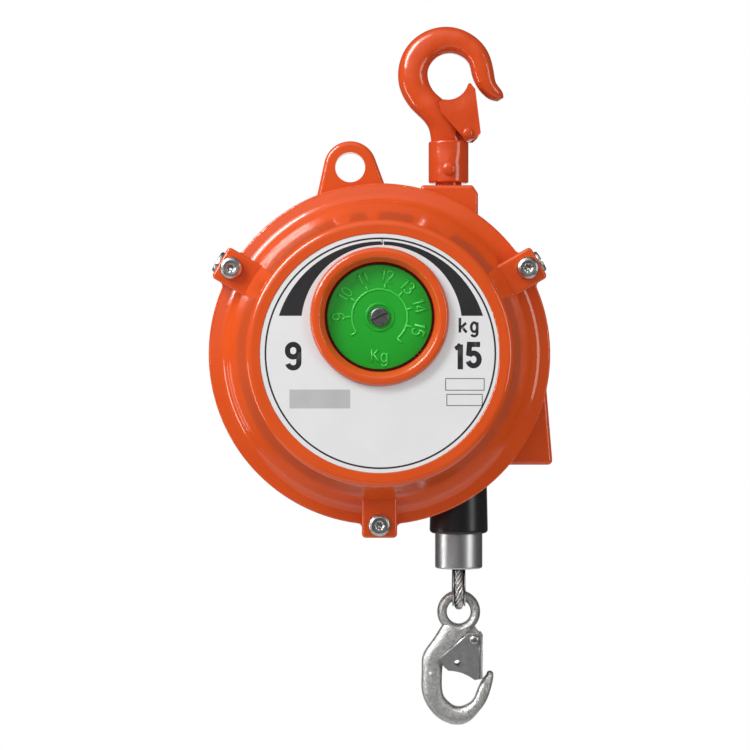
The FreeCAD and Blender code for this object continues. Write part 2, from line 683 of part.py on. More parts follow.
# ================================================================ shaft group
def main_shaft():
    """Stepped shaft; the collar lies between drum and worm wheel."""
    front = FIRST_STAGE_Y - 0.2
    shaft = turned([
        (0, front), (SPIGOT_R, front), (SPIGOT_R, FLOOR_Y - 0.6),
        (SHAFT_FRONT_R, FLOOR_Y - 0.6), (SHAFT_FRONT_R, CASE_FRONT_Y),
        (SHAFT_ARBOR_R, CASE_FRONT_Y), (SHAFT_ARBOR_R, PLATE_FRONT_Y - 0.4),
        (SHAFT_DRUM_R, PLATE_FRONT_Y - 0.4), (SHAFT_DRUM_R, DRUM_REAR_Y + 0.3),
        (SHAFT_COLLAR_R, DRUM_REAR_Y + 0.3), (SHAFT_COLLAR_R, WHEEL_Y - WHEEL_T / 2 - 1),
        (SHAFT_WHEEL_R, WHEEL_Y - WHEEL_T / 2 - 1), (SHAFT_WHEEL_R, WHEEL_Y + WHEEL_T / 2 - 0.3),
        (SHAFT_REAR_R, WHEEL_Y + WHEEL_T / 2 - 0.3), (SHAFT_REAR_R, HUB_END_Y - 2),
        (0, HUB_END_Y - 2)])
    groove = ring(SHAFT_REAR_R + 1, SHAFT_REAR_R - 0.8, clip_y(), clip_y() + 1.2)
    return cut_all(shaft, groove, *key_blocks())


def clip_y():
    return HUB_END_Y - 6.4


def key_blocks():
    """Two parallel keys on top of the shaft: spring arbor and worm wheel."""
    half = KEY_W / 2
    return [box(-half, half, CASE_FRONT_Y + 3, PLATE_FRONT_Y - 4,
                SHAFT_ARBOR_R - 2, SHAFT_ARBOR_R + KEY_RISE),
            box(-half, half, WHEEL_Y - 5, WHEEL_Y + 5,
                SHAFT_WHEEL_R - 2, SHAFT_WHEEL_R + KEY_RISE)]


def shaft_keys():
    return Part.Compound(key_blocks())


def shaft_clip():
    """Retaining ring behind the rear bush."""
    clip = ring(SHAFT_REAR_R + 1.8, SHAFT_REAR_R - 0.8, clip_y(), clip_y() + 1.2)
    return clip.cut(box(-1.5, 1.5, clip_y() - 1, clip_y() + 3, 0, 12))


def spring_arbor():
    """Hub that holds the inner end of the mainspring."""
    core = ring(ARBOR_R, SHAFT_ARBOR_R, CASE_FRONT_Y + 0.3, PLATE_FRONT_Y - 0.4)
    catch = box(-ARBOR_R - ARBOR_CATCH, -ARBOR_R + 2, CASE_FRONT_Y + 4, PLATE_FRONT_Y - 4, -4.2, -0.1)
    return cut_all(fused(core, catch), key_blocks()[0])


def worm_wheel():
    """Fifty-tooth wheel with a lighter web."""
    half = WHEEL_T / 2
    wheel = gear(WHEEL_TEETH, WORM_MODULE, WHEEL_Y - half, WHEEL_Y + half,
                 slim=0.2)
    recess = ring(52, 17, WHEEL_Y - half - 1, WHEEL_Y - 3)
    recess_rear = ring(52, 17, WHEEL_Y + 3, WHEEL_Y + half + 1)
    bore = disc(SHAFT_WHEEL_R, WHEEL_Y - 20, WHEEL_Y + 20)
    hub = ring(17, SHAFT_WHEEL_R, WHEEL_Y - half - 0.9, WHEEL_Y + half - 0.4)
    holes = [disc(7, WHEEL_Y - 10, WHEEL_Y + 10, *on_circle(34, a)) for a in range(30, 360, 60)]
    wheel = cut_all(wheel, recess, recess_rear, *holes)
    return cut_all(fused(wheel, hub), bore, key_blocks()[1])


def bush_end_y():
    """Inner end of the front bush, inside the hole of the spring cover."""
    return CASE_FRONT_Y - 0.6


def front_bush():
    return ring(SHAFT_FRONT_R + BUSH_WALL, SHAFT_FRONT_R + RUN_FIT,
                FLOOR_Y - 0.3, bush_end_y())


def rear_bush():
    return ring(SHAFT_REAR_R + BUSH_WALL, SHAFT_REAR_R + RUN_FIT,
                CHAMBER_END_Y - 2.6, HUB_END_Y - 7)


# ================================================================ drum group
def wrap_place(i):
    """Radius and Y of the middle of wrap i; wrap 0 is the one paid out first."""
    return ROPE_X + WRAP_STEP_R * i, -WRAP_STEP_Y * i


def rope_drum():
    """Cone-shaped rope drum with one groove per wrap and a plate at its large end."""
    edge = GROOVE_R - 0.2
    lift = math.sqrt(GROOVE_R ** 2 - edge ** 2)
    small_r = ROPE_X - GROOVE_R
    outline = [(DRUM_BUSH_R, PLATE_FRONT_Y), (PLATE_R, PLATE_FRONT_Y),
               (PLATE_R, PLATE_REAR_Y), (wrap_place(WRAPS - 1)[0] + 2.4, PLATE_REAR_Y)]
    for i in reversed(range(WRAPS)):
        r, y = wrap_place(i)
        outline.append((r - lift, y - edge))
        outline.append((r - GROOVE_R, y, r - lift, y + edge))
    web_r = wrap_place(WRAPS - 1)[0] - GROOVE_R - DRUM_SHELL - 2
    outline += [(ROPE_X + 5.5, 2.6), (ROPE_X + 5.5, DRUM_REAR_Y),
                (small_r - DRUM_SHELL, DRUM_REAR_Y), (web_r, PLATE_REAR_Y + 5),
                (19, PLATE_REAR_Y + 5), (19, DRUM_REAR_Y - 0.5),
                (DRUM_BUSH_R, DRUM_REAR_Y - 0.5)]
    drum = turned(outline)
    x, z = pawl_place()
    holes = [disc(PAWL_PIN_R, -6, DRUM_REAR_Y + 1, x, z)]
    ax, az = anchor_place()
    holes.append(disc(ANCHOR_R, PLATE_FRONT_Y - 1, PLATE_REAR_Y + 5.1, ax, az))
    pawl_boss = disc(6.0, -6, DRUM_REAR_Y, x, z)
    for angle in DRUM_SCREW_ANGLES:
        sx, sz = on_circle(PLATE_R - CASE_WALL / 2, angle)
        holes.append(disc(DRUM_SCREW_R, PLATE_FRONT_Y - 1, PLATE_REAR_Y + 1, sx, sz))
    inside = turned([(DRUM_BUSH_R, PLATE_FRONT_Y), (60, PLATE_FRONT_Y), (52, -20),
                     (small_r - 2, 2), (small_r - 2, DRUM_REAR_Y),
                     (DRUM_BUSH_R, DRUM_REAR_Y)])
    return cut_all(fused(drum, pawl_boss.common(inside)), *holes)


def drum_bushes():
    """Two bronze bushes in the drum hub."""
    front = ring(DRUM_BUSH_R, SHAFT_DRUM_R + RUN_FIT, PLATE_FRONT_Y,
                 PLATE_FRONT_Y + DRUM_BUSH_L)
    rear = ring(DRUM_BUSH_R, SHAFT_DRUM_R + RUN_FIT, DRUM_REAR_Y - DRUM_BUSH_L, DRUM_REAR_Y)
    return Part.Compound([front, rear])


def spring_case():
    """Ring that closes the mainspring in."""
    case = ring(PLATE_R, PLATE_R - CASE_WALL, CASE_FRONT_Y, PLATE_FRONT_Y)
    holes = [disc(DRUM_SCREW_R, CASE_FRONT_Y - 1, PLATE_FRONT_Y + 1,
                  *on_circle(PLATE_R - CASE_WALL / 2, a)) for a in DRUM_SCREW_ANGLES]
    return cut_all(case, *holes)


def spring_case_cover():
    front = CASE_FRONT_Y - COVER_T
    cover = ring(PLATE_R, ARBOR_R + 1.5, front, CASE_FRONT_Y)
    holes = [disc(DRUM_SCREW_R, front - 1, CASE_FRONT_Y + 1,
                  *on_circle(PLATE_R - CASE_WALL / 2, a)) for a in DRUM_SCREW_ANGLES]
    return cut_all(cover, *holes)


def drum_screws():
    """Four M3 screws through cover, spring case and drum plate."""
    front = CASE_FRONT_Y - COVER_T
    screws = []
    for angle in DRUM_SCREW_ANGLES:
        x, z = on_circle(PLATE_R - CASE_WALL / 2, angle)
        screws.append(fused(disc(2.6, front - 1.2, front, x, z),
                            disc(DRUM_SCREW_R, front - 0.5, PLATE_REAR_Y, x, z)))
    return Part.Compound(screws)


def mainspring():
    """Spiral ribbon: open coils of half circles, then the coils packed on the case."""
    y0 = (CASE_FRONT_Y + PLATE_FRONT_Y - SPRING_W) / 2
    y1 = y0 + SPRING_W
    inner = ARBOR_R + 0.3
    halves = 2 * SPRING_COILS
    step = (SPRING_PACK_R - inner) / halves
    inside_arcs = []
    outside_arcs = []
    side = -1
    reach = inner
    for _ in range(halves):
        start = side * reach
        next_reach = reach + step
        end = -side * next_reach
        middle = (start + end) / 2
        radius = abs(end - start) / 2
        sign = 1 if side < 0 else -1
        inside_arcs.append((start, middle, sign * radius, end))
        outside_arcs.append((start + side * SPRING_T, middle,
                             sign * (radius + SPRING_T), end - side * SPRING_T))
        side = -side
        reach = next_reach
    outline = [(outside_arcs[0][0], 0), (inside_arcs[0][0], 0)]
    for start, middle, height, end in inside_arcs:
        outline.append((middle, height, end, 0))
    last = outside_arcs[-1]
    outline.append((last[3], 0))
    for start, middle, height, end in reversed(outside_arcs):
        outline.append((middle, height, start, 0))
    coils = slab(outline, y0, y1)
    pack = ring(PLATE_R - CASE_WALL - 0.1, SPRING_PACK_R - 0.2, y0, y1)
    return fused(coils, pack)


def rope_wraps():
    """Rope lying in the drum grooves."""
    wraps = []
    for i in range(WRAPS):
        r, y = wrap_place(i)
        sweep = {0: FIRST_WRAP, WRAPS - 1: LAST_WRAP}.get(i, 360.0)
        section = Part.Face(Part.Wire(Part.makeCircle(ROPE_R, pt(r, y, 0), Z_DIR)))
        turn = section.revolve(pt(0, 0, 0), Y_DIR, -sweep)
        wraps.append(turn)
    return Part.Compound(wraps)


def anchor_place():
    """Plug that holds the dead end of the rope, beyond the end of the last wrap."""
    r = wrap_place(WRAPS - 1)[0]
    return on_circle(r, LAST_WRAP + math.degrees((ANCHOR_R + 0.1) / r))


def rope_anchor():
    x, z = anchor_place()
    return disc(ANCHOR_R, PLATE_FRONT_Y, PLATE_REAR_Y + 4.8, x, z)


def pawl_place():
    return on_circle(PAWL_CIRCLE_R, 90)


def pawl_pin():
    x, z = pawl_place()
    head = DRUM_REAR_Y + SIDE_GAP + PAWL_T + 0.1
    return fused(disc(PAWL_PIN_R, -6, head, x, z), disc(PAWL_PIN_R + 1.5, head, head + 0.8, x, z))


def lock_pawl():
    """Pawl that swings out into the ratchet when the mainspring breaks."""
    px, pz = pawl_place()
    y0 = DRUM_REAR_Y + SIDE_GAP
    arm = slab(hook_pt([
        (6, 0), (8, 8), (21, 14.5), (26, 15.5), (25.5, 11.5), (14, 4), (5, -5),
        (-1, -6.5, -6, 0), (-3, 5.2, 0, 6)], px, pz), y0, y0 + PAWL_T)
    return arm.cut(disc(PAWL_PIN_R + RUN_FIT, y0 - 1, y0 + PAWL_T + 1, px, pz))


def ratchet_segment():
    """Toothed segment on the chamber wall at the left."""
    y0, y1 = DRUM_REAR_Y, DRUM_REAR_Y + 5
    tip_r, root_r = CHAMBER_R - 9.0, CHAMBER_R - 4.5
    outline = []
    for angle in (120.0, 150.0, 180.0, 210.0):
        outline.append(on_circle(tip_r, angle))
        outline.append(on_circle(tip_r, angle + 6))
        outline.append(on_circle(root_r, angle + 6.2))
        outline.append(on_circle(root_r, angle + 22))
    outline.append(on_circle(CHAMBER_R, 232))
    outline.append(on_circle(CHAMBER_R, 176) + on_circle(CHAMBER_R, 120))
    return slab(outline, y0, y1)


# ================================================================ worm group
def worm():
    """Worm shaft with journals and a hexagon socket in its lower end."""
    low = worm_low()
    high = WORM_HALF_L + WORM_BUSH_L + 0.6
    crest = WORM_X - (WORM_MODULE * WHEEL_TEETH / 2 + 0.8 * WORM_MODULE) - SIDE_GAP
    body = turned_up([
        (0, low), (WORM_JOURNAL_R, low), (WORM_JOURNAL_R, -WORM_HALF_L), (crest, -WORM_HALF_L),
        (crest, WORM_HALF_L), (WORM_JOURNAL_R, WORM_HALF_L), (WORM_JOURNAL_R, high),
        (0, high)], WORM_X, WHEEL_Y)
    return body.cut(hex_post(HEX_FLATS, low - 1, low + 9, WORM_X, WHEEL_Y))


def worm_low():
    """Height of the worm's lower end, just above the retainer."""
    return BLOCK_BOTTOM + RETAINER_L + SIDE_GAP


def worm_bushes():
    """Lower bush, wide enough for the worm to pass its bore, and upper bush."""
    low = tube(WORM_CAVITY_R, WORM_JOURNAL_R + RUN_FIT, BLOCK_BOTTOM + RETAINER_L,
               -LOWER_BUSH_TOP, WORM_X, WHEEL_Y)
    high = tube(WORM_BUSH_R, WORM_JOURNAL_R + RUN_FIT, WORM_HALF_L + 1,
                WORM_HALF_L + 1 + WORM_BUSH_L, WORM_X, WHEEL_Y)
    return Part.Compound([low, high])


def worm_retainer():
    """Screwed ring under the worm, with a hole for the adjusting key."""
    ring_ = tube(WORM_CAVITY_R, KEY_HOLE_R, BLOCK_BOTTOM + 0.6, BLOCK_BOTTOM + RETAINER_L,
                 WORM_X, WHEEL_Y)
    slots = [box(WORM_X + d - 1.2, WORM_X + d + 1.2, WHEEL_Y - 1.5, WHEEL_Y + 1.5,
                 BLOCK_BOTTOM, BLOCK_BOTTOM + 3) for d in (-8.2, 8.2)]
    return cut_all(ring_, *slots)


# ================================================================ rope end
def rope_guide():
    """Flanged plastic bush in the rope outlet."""
    body = turned_up([
        (GUIDE_BORE_R, NECK_BOTTOM + 1), (GUIDE_BORE_R + 1, NECK_BOTTOM),
        (GUIDE_R + 3, NECK_BOTTOM), (GUIDE_R + 3, NECK_BOTTOM + 2),
        (GUIDE_R, NECK_BOTTOM + 2), (GUIDE_R, -55), (GUIDE_BORE_R + 2, -55),
        (GUIDE_BORE_R, -57)], ROPE_X, 0)
    return body


def rope_lead():
    """Rope from the drum to the outlet."""
    return post(ROPE_R, NECK_BOTTOM + 1, 0, ROPE_X, 0)


def ferrule_top():
    return STOP_BOTTOM + FERRULE_RISE


def rope_fall():
    """Rope from the outlet down into the ferrule."""
    return post(ROPE_R, ferrule_top(), NECK_BOTTOM + 1, ROPE_X, 0)


def rope_bumper():
    """Rubber buffer that meets the casing when the rope is wound in."""
    top = NECK_BOTTOM - SIDE_GAP
    return turned_up([
        (ROPE_R + ROPE_FIT, top), (BUMPER_R - 1.5, top), (BUMPER_R - 0.5, top - 1.5),
        (BUMPER_R, BUMPER_BOTTOM + 2.2),
        (BUMPER_R - 0.6, BUMPER_BOTTOM + 0.6, BUMPER_R - 2.2, BUMPER_BOTTOM),
        (ROPE_R + ROPE_FIT, BUMPER_BOTTOM)], ROPE_X, 0)


def rope_stop():
    """Metal sleeve that hides the ferrule and carries the bumper."""
    top = BUMPER_BOTTOM
    return turned_up([
        (ROPE_R + ROPE_FIT, top), (STOP_R, top), (STOP_R, STOP_BOTTOM + 1.2),
        (STOP_R - 0.35, STOP_BOTTOM + 0.35, STOP_R - 1.2, STOP_BOTTOM),
        (9.5, STOP_BOTTOM), (8.0, ferrule_top()), (ROPE_R + ROPE_FIT, ferrule_top())],
        ROPE_X, 0)


def rope_ferrule():
    """Pressed sleeve that joins the rope to its eye."""
    z1 = ferrule_top()
    half_x = ROPE_R + 1.4
    half_y = 2 * ROPE_R + 1.6
    body = box(ROPE_X - half_x, ROPE_X + half_x, -half_y, half_y, z1 - FERRULE_L, z1)
    return rounded(body, half_x - 0.2, lambda e: runs_along(e, Z_DIR))


def loop_centre():
    return EYE_Z + EYE_HOLE_R - 0.3 + (LOOP_R - ROPE_R - THIMBLE_WALL - 0.1)


def loop_tangent():
    """Where the straight legs of the rope eye touch its round bottom."""
    zc = loop_centre()
    leg_y = ROPE_R + 0.4
    rise = ferrule_top() - FERRULE_L - zc
    span = math.hypot(leg_y, rise)
    turn = math.acos(LOOP_R / span)
    toward = math.atan2(rise, leg_y)
    angle = toward - turn
    return leg_y, rise, angle, zc


def loop_path():
    leg_y, rise, angle, zc = loop_tangent()
    y = LOOP_R * math.cos(angle)
    z = LOOP_R * math.sin(angle)
    start = pt(ROPE_X, leg_y, zc + rise)
    touch = pt(ROPE_X, y, zc + z)
    bottom = pt(ROPE_X, 0, zc - LOOP_R)
    touch_back = pt(ROPE_X, -y, zc + z)
    end = pt(ROPE_X, -leg_y, zc + rise)
    return start, touch, bottom, touch_back, end


def swept_loop(section_at):
    """Sweep along the rope's loop; section_at(start, direction) gives the wire."""
    start, touch, bottom, touch_back, end = loop_path()
    path = Part.Wire([Part.LineSegment(start, touch).toShape(),
                      Part.Arc(touch, bottom, touch_back).toShape(),
                      Part.LineSegment(touch_back, end).toShape()])
    return path.makePipeShell([section_at(start, touch - start)], True, False)


def rope_eye():
    """Loop of rope round the thimble: two legs and a round bottom."""
    loop = swept_loop(lambda start, run: Part.Wire(Part.makeCircle(ROPE_R, start, run)))
    above = box(ROPE_X - 9, ROPE_X + 9, -20, 20, ferrule_top() - FERRULE_L, ferrule_top())
    return loop.cut(above)


def thimble():
    """Grooved lining of the rope eye, along the legs and round the bottom."""
    inner_w = THIMBLE_HALF_W - THIMBLE_WALL
    seat = ROPE_R + 0.1
    lip = 0.5

    def section(start, run):
        inward = X_DIR.cross(run).normalize()

        def place(u, v):
            return start + X_DIR * u + inward * v
        if place(0, 1).y > start.y:
            inward = inward * -1
        return wire([
            (THIMBLE_HALF_W, -lip), (THIMBLE_HALF_W, 0),
            (0, seat + THIMBLE_WALL, -THIMBLE_HALF_W, 0), (-THIMBLE_HALF_W, -lip),
            (-inner_w, -lip), (-inner_w, 0), (0, seat, inner_w, 0), (inner_w, -lip)], place)
    trough = swept_loop(section)
    above = box(ROPE_X - 9, ROPE_X + 9, -20, 20, STOP_BOTTOM + 1.0, ferrule_top())
    return trough.cut(above)


# ================================================================ hooks
def section(inner, outer, half, power):
    """Closed curve across a forging, between two points of its outline; a higher
    power gives flatter faces."""
    a = pt(inner[0], 0, inner[1])
    b = pt(outer[0], 0, outer[1])
    middle = (a + b) * 0.5
    reach = (b - a) * 0.5
    points = []
    for i in range(20):
        turn = 2 * math.pi * i / 20
        c, s = math.cos(turn), math.sin(turn)
        along = math.copysign(abs(c) ** (2 / power), c)
        across = math.copysign(abs(s) ** (2 / power), s)
        points.append(middle + reach * along + Y_DIR * (half * across))
    curve = Part.BSplineCurve()
    curve.interpolate(points, PeriodicFlag=True)
    return Part.Wire(curve.toShape())


def forged(stations, x0, z0, thick, power):
    """Loft along a forging. A station is the point on the inside of the bend, the
    point on its outside, and the share of the full thickness."""
    wires = [section((i[0] + x0, i[1] + z0), (o[0] + x0, o[1] + z0), share * thick / 2, power)
             for i, o, share in stations]
    return Part.makeLoft(wires, True, False)


def hook_pt(items, x0, z0):
    """Shift an outline by a reference point."""
    moved = []
    for item in items:
        shift = (x0, z0) * (len(item) // 2)
        moved.append(tuple(a + b for a, b in zip(item, shift)))
    return moved


def lower_hook():
    """Forged eye hook; the eye takes the rope loop."""
    half = LOWER_T / 2
    bend = forged([
        ((8.5, -7.0), (-8.5, -6.6), 0.92), ((5.5, -13.5), (-11.5, -11.2), 1.0),
        ((0.5, -18.6), (-15.6, -17.2), 1.0), ((-5.2, -22.6), (-19.0, -22.2), 1.0),
        ((-8.6, -28.6), (-20.3, -28.4), 1.0), ((-9.2, -36.0), (-20.4, -36.0), 1.0),
        ((-9.0, -43.0), (-20.2, -43.5), 1.0), ((-6.3, -48.6), (-15.6, -53.8), 1.0),
        ((-2.9, -51.2), (-8.4, -59.9), 1.0), ((0.5, -51.9), (-0.6, -61.9), 1.0),
        ((5.4, -50.2), (7.6, -58.4), 1.0), ((8.7, -46.6), (13.4, -51.6), 1.0),
        ((10.4, -42.2), (16.8, -44.6), 0.98), ((12.4, -38.0), (18.4, -38.9), 0.9),
        ((15.2, -34.4), (19.0, -34.2), 0.72)], ROPE_X, EYE_Z, LOWER_T, 3.0)
    eye = turned([
        (EYE_HOLE_R + 2.7, -EYE_HALF_T), (EYE_R - 2.0, -EYE_HALF_T),
        (EYE_R, -0.01, EYE_R - 2.0, EYE_HALF_T), (EYE_HOLE_R + 2.7, EYE_HALF_T),
        (EYE_HOLE_R, 0, EYE_HOLE_R + 2.7, -EYE_HALF_T)], ROPE_X, EYE_Z)
    clear = disc(EYE_HOLE_R + 2.7, -10, 10, ROPE_X, EYE_Z)
    px, pz = lower_pin()
    ear = slab(hook_pt(eased([
        (8.6, -7.6, 0), (11.3, -11.2, 1.5), (11.3, -17.7, 3.0), (1.0, -18.6, 0),
        (-4.0, -16.0, 0), (2.0, -9.5, 0)]), ROPE_X, EYE_Z), -EAR_T / 2, EAR_T / 2)
    seats = [disc(5.2, -half - 1, -EAR_T / 2, px, pz), disc(5.2, EAR_T / 2, half + 1, px, pz)]
    body = fused(cut_all(bend, clear, *seats), ear.cut(clear), eye)
    return body.cut(disc(LOWER_RIVET_R, -half - 1, half + 1, px, pz))


def lower_pin():
    return ROPE_X + 8.3, EYE_Z - 14.7


def upper_pin():
    return hook_x(9.6), hook_z(-44.6)


def hook_x(x):
    """X of the upper hook's outline, counted from the saddle, in shaft terms."""
    return x - SHAFT_X


def hook_z(z):
    return z - SHAFT_Z


def upper_hook():
    """Forged hook with a round shank that is pinned in the swivel collar."""
    half = UPPER_T / 2
    bend = forged([
        ((7.4, COLLAR_TOP + 0.1), (-10.2, COLLAR_TOP + 0.1), 0.9), ((6.8, -43.5), (-10.9, -43.8), 0.95),
        ((3.4, -34.0), (-14.2, -37.2), 0.99), ((-3.0, -26.0), (-20.9, -30.6), 1.0),
        ((-8.8, -20.7), (-26.0, -23.0), 1.0), ((-12.1, -12.1), (-28.5, -11.6), 1.0),
        ((-9.9, -5.1), (-24.4, 2.4), 1.0), ((-5.3, -1.2), (-13.6, 11.9), 1.0),
        ((0.6, 0.0), (-0.8, 14.5), 0.99), ((6.4, -1.8), (11.0, 10.9), 0.96),
        ((10.6, -6.2), (20.3, 1.9), 0.94), ((12.2, -12.6), (24.1, -9.8), 0.9),
        ((14.5, -17.8), (25.2, -15.6), 0.82), ((18.6, -23.0), (27.3, -18.9), 0.7),
        ((23.2, -25.8), (29.2, -22.0), 0.54), ((26.2, -26.3), (29.4, -24.4), 0.28)],
        -SHAFT_X, -SHAFT_Z, UPPER_T, 2.4)
    shank = post(SHANK_R, hook_z(SHANK_END), hook_z(COLLAR_TOP + 1.0), SWIVEL_X, 0)
    px, pz = upper_pin()
    ear = slab(hook_pt(eased([
        (2.0, -36.0, 0), (6.5, -36.5, 3.0), (13.8, -41.0, 4.0), (13.8, -48.2, 4.0),
        (5.0, -48.2, 0), (-4.0, -46.0, 0)]), -SHAFT_X, -SHAFT_Z),
        -UPPER_EAR_T / 2, UPPER_EAR_T / 2)
    seats = [disc(6.4, -half - 1, -UPPER_EAR_T / 2, px, pz),
             disc(6.4, UPPER_EAR_T / 2, half + 1, px, pz)]
    body = fused(cut_all(fused(bend, shank), *seats), ear)
    return cut_all(body, disc(UPPER_RIVET_R, -half - 1, half + 1, px, pz),
                   disc(COLLAR_PIN_R, -20, 20, SWIVEL_X, collar_pin_z()))


def collar_pin_z():
    return hook_z(COLLAR_PIN_Z)


def swivel_stem():
    """Collar with a socket for the hook and a stem down through the tower."""
    top = hook_z(COLLAR_TOP)
    shoulder = TOWER_TOP + 2.0
    end = NUT_POCKET_TOP - STEM_THREAD_L
    stem = turned_up(eased([
        (SHANK_R, top, 0), (COLLAR_R, top, 1.2), (COLLAR_R, shoulder, 1.2), (STEM_R, shoulder, 0),
        (STEM_R, NUT_POCKET_TOP, 0), (STEM_THREAD_R, NUT_POCKET_TOP, 0),
        (STEM_THREAD_R, end, 1.0), (0, end, 0), (0, hook_z(SHANK_END), 0),
        (SHANK_R, hook_z(SHANK_END), 0)]), SWIVEL_X, 0)
    cross = disc(COLLAR_PIN_R, -20, 20, SWIVEL_X, collar_pin_z())
    cotter = Part.makeCylinder(COTTER_R + 0.05, 30, pt(SWIVEL_X, -15, cotter_z()), Y_DIR)
    return cut_all(stem, cross, cotter)


def collar_pin():
    """Riveted cross pin with low domed heads."""
    reach = COLLAR_R + 1.0
    pin = disc(COLLAR_PIN_R, -COLLAR_R, COLLAR_R, SWIVEL_X, collar_pin_z())
    heads = [disc(COLLAR_PIN_R + 0.6, -reach, 0.6 - COLLAR_R, SWIVEL_X, collar_pin_z()),
             disc(COLLAR_PIN_R + 0.6, COLLAR_R - 0.6, reach, SWIVEL_X, collar_pin_z())]
    heads = [rounded(h, 0.7, lambda e, y=y: in_plane(e, y)) for h, y in zip(heads, (-reach, reach))]
    collar = post(COLLAR_R, collar_pin_z() - 10, collar_pin_z() + 10, SWIVEL_X, 0)
    return fused(pin.common(collar), *[h.cut(collar) for h in heads])


def nut_top():
    return NUT_POCKET_TOP - THRUST_T


def cotter_z():
    return nut_top() - NUT_H + 2.2


def stem_nut():
    """Castle nut under the tower."""
    low = nut_top() - NUT_H
    nut = hex_post(NUT_FLATS, low, nut_top() - 0.1, SWIVEL_X, 0)
    slot = box(SWIVEL_X - COTTER_R - 0.1, SWIVEL_X + COTTER_R + 0.1, -15, 15, low - 1,
               cotter_z() + COTTER_R + 0.2)
    return cut_all(nut, post(STEM_THREAD_R, low - 5, nut_top() + 5, SWIVEL_X, 0), slot)


def thrust_washer():
    return tube(11.5, STEM_R + 0.3, nut_top(), NUT_POCKET_TOP, SWIVEL_X, 0)


def cotter_pin():
    """Split pin through nut and stem."""
    return Part.makeCylinder(COTTER_R, 22, pt(SWIVEL_X, -11, cotter_z()), Y_DIR)


def latch(outline, hollow, pin, inside, pin_r):
    """Folded sheet latch: two equal cheeks joined by a back strip on the right.
    outline is the cheek, hollow the outline of the space between the cheeks."""
    cheek = slab(outline, -inside - LATCH_SHEET, inside + LATCH_SHEET)
    cheek = rounded(cheek, 0.8, lambda e: runs_along(e, Y_DIR))
    return cut_all(cheek, slab(hollow, -inside, inside), disc(pin_r + RUN_FIT, -30, 30, *pin))


def lower_latch():
    outline = hook_pt([
        (12.9, -11.6), (12.9, -36.1), (8.4, -36.8), (1.5, -33.0, -5.9, -31.7),
        (-8.4, -29.5), (-10.8, -25.2), (5.4, -11.1)], ROPE_X, EYE_Z)
    hollow = hook_pt([(11.7, -5.0), (11.7, -45), (-20, -45), (-20, -5)], ROPE_X, EYE_Z)
    body = latch(outline, hollow, lower_pin(), LOWER_T / 2 + LATCH_GAP, LOWER_RIVET_R)
    return body.cut(disc(1.7, -30, 30, ROPE_X - 1.0, EYE_Z - 27.5))


def upper_latch():
    outline = hook_pt([
        (10.9, -17.2), (13.6, -20.6), (16.6, -44.6), (13.0, -48.0), (8.0, -48.0),
        (-4.9, -33.4), (-6.4, -28.0), (-3.8, -26.2), (4.5, -24.8, 9.6, -17.9)],
        -SHAFT_X, -SHAFT_Z)
    hollow = hook_pt([(11.6, -10.0), (11.6, -20.0), (15.2, -44.2), (15.0, -60), (-20, -60),
                      (-20, -10)], -SHAFT_X, -SHAFT_Z)
    return latch(outline, hollow, upper_pin(), UPPER_T / 2 + LATCH_GAP, UPPER_RIVET_R)


def rivet(pin, inside, shank_r, head_r):
    """Pin with a round head on each side."""
    x, z = pin
    reach = inside + LATCH_SHEET + 0.08
    shank = disc(shank_r, -reach - 0.4, reach + 0.4, x, z)
    heads = [disc(head_r, reach, reach + 1.3, x, z), disc(head_r, -reach - 1.3, -reach, x, z)]
    heads = [rounded(h, 0.8, lambda e, far=far: in_plane(e, far))
             for h, far in zip(heads, (reach + 1.3, -reach - 1.3))]
    return fused(shank, *heads)


def lower_rivet():
    return rivet(lower_pin(), LOWER_T / 2 + LATCH_GAP, LOWER_RIVET_R, 2.6)


def upper_rivet():
    return rivet(upper_pin(), UPPER_T / 2 + LATCH_GAP, UPPER_RIVET_R, 2.8)


def coil_spring(pin, y0, turns, r_in, wire_r, leg):
    """Close coil round the latch pin with one leg along the hook."""
    x, z = pin
    profile = [(r_in, y0), (r_in + wire_r, y0)]
    for i in range(turns):
        y = y0 + 2 * wire_r * i
        profile.append((r_in + 2 * wire_r, y + wire_r, r_in + wire_r, y + 2 * wire_r))
    profile.append((r_in, y0 + 2 * wire_r * turns))
    coil = turned(profile, x, z)
    along = FreeCAD.Vector(leg[0], 0, leg[1])
    side = FreeCAD.Vector(-leg[1], 0, leg[0]) * ((r_in + wire_r) / along.Length)
    rod = Part.makeCylinder(0.9 * wire_r, along.Length, pt(x, y0 + wire_r, z) + side, along)
    return fused(coil, rod)


def lower_latch_spring():
    return coil_spring(lower_pin(), EAR_T / 2 + 0.1, 2, LOWER_RIVET_R + 0.1, 0.55, (-3.4, -0.9))


def upper_latch_spring():
    return coil_spring(upper_pin(), UPPER_EAR_T / 2 + 0.1, 3, UPPER_RIVET_R + 0.1, 0.75, (-3.9, 1.3))


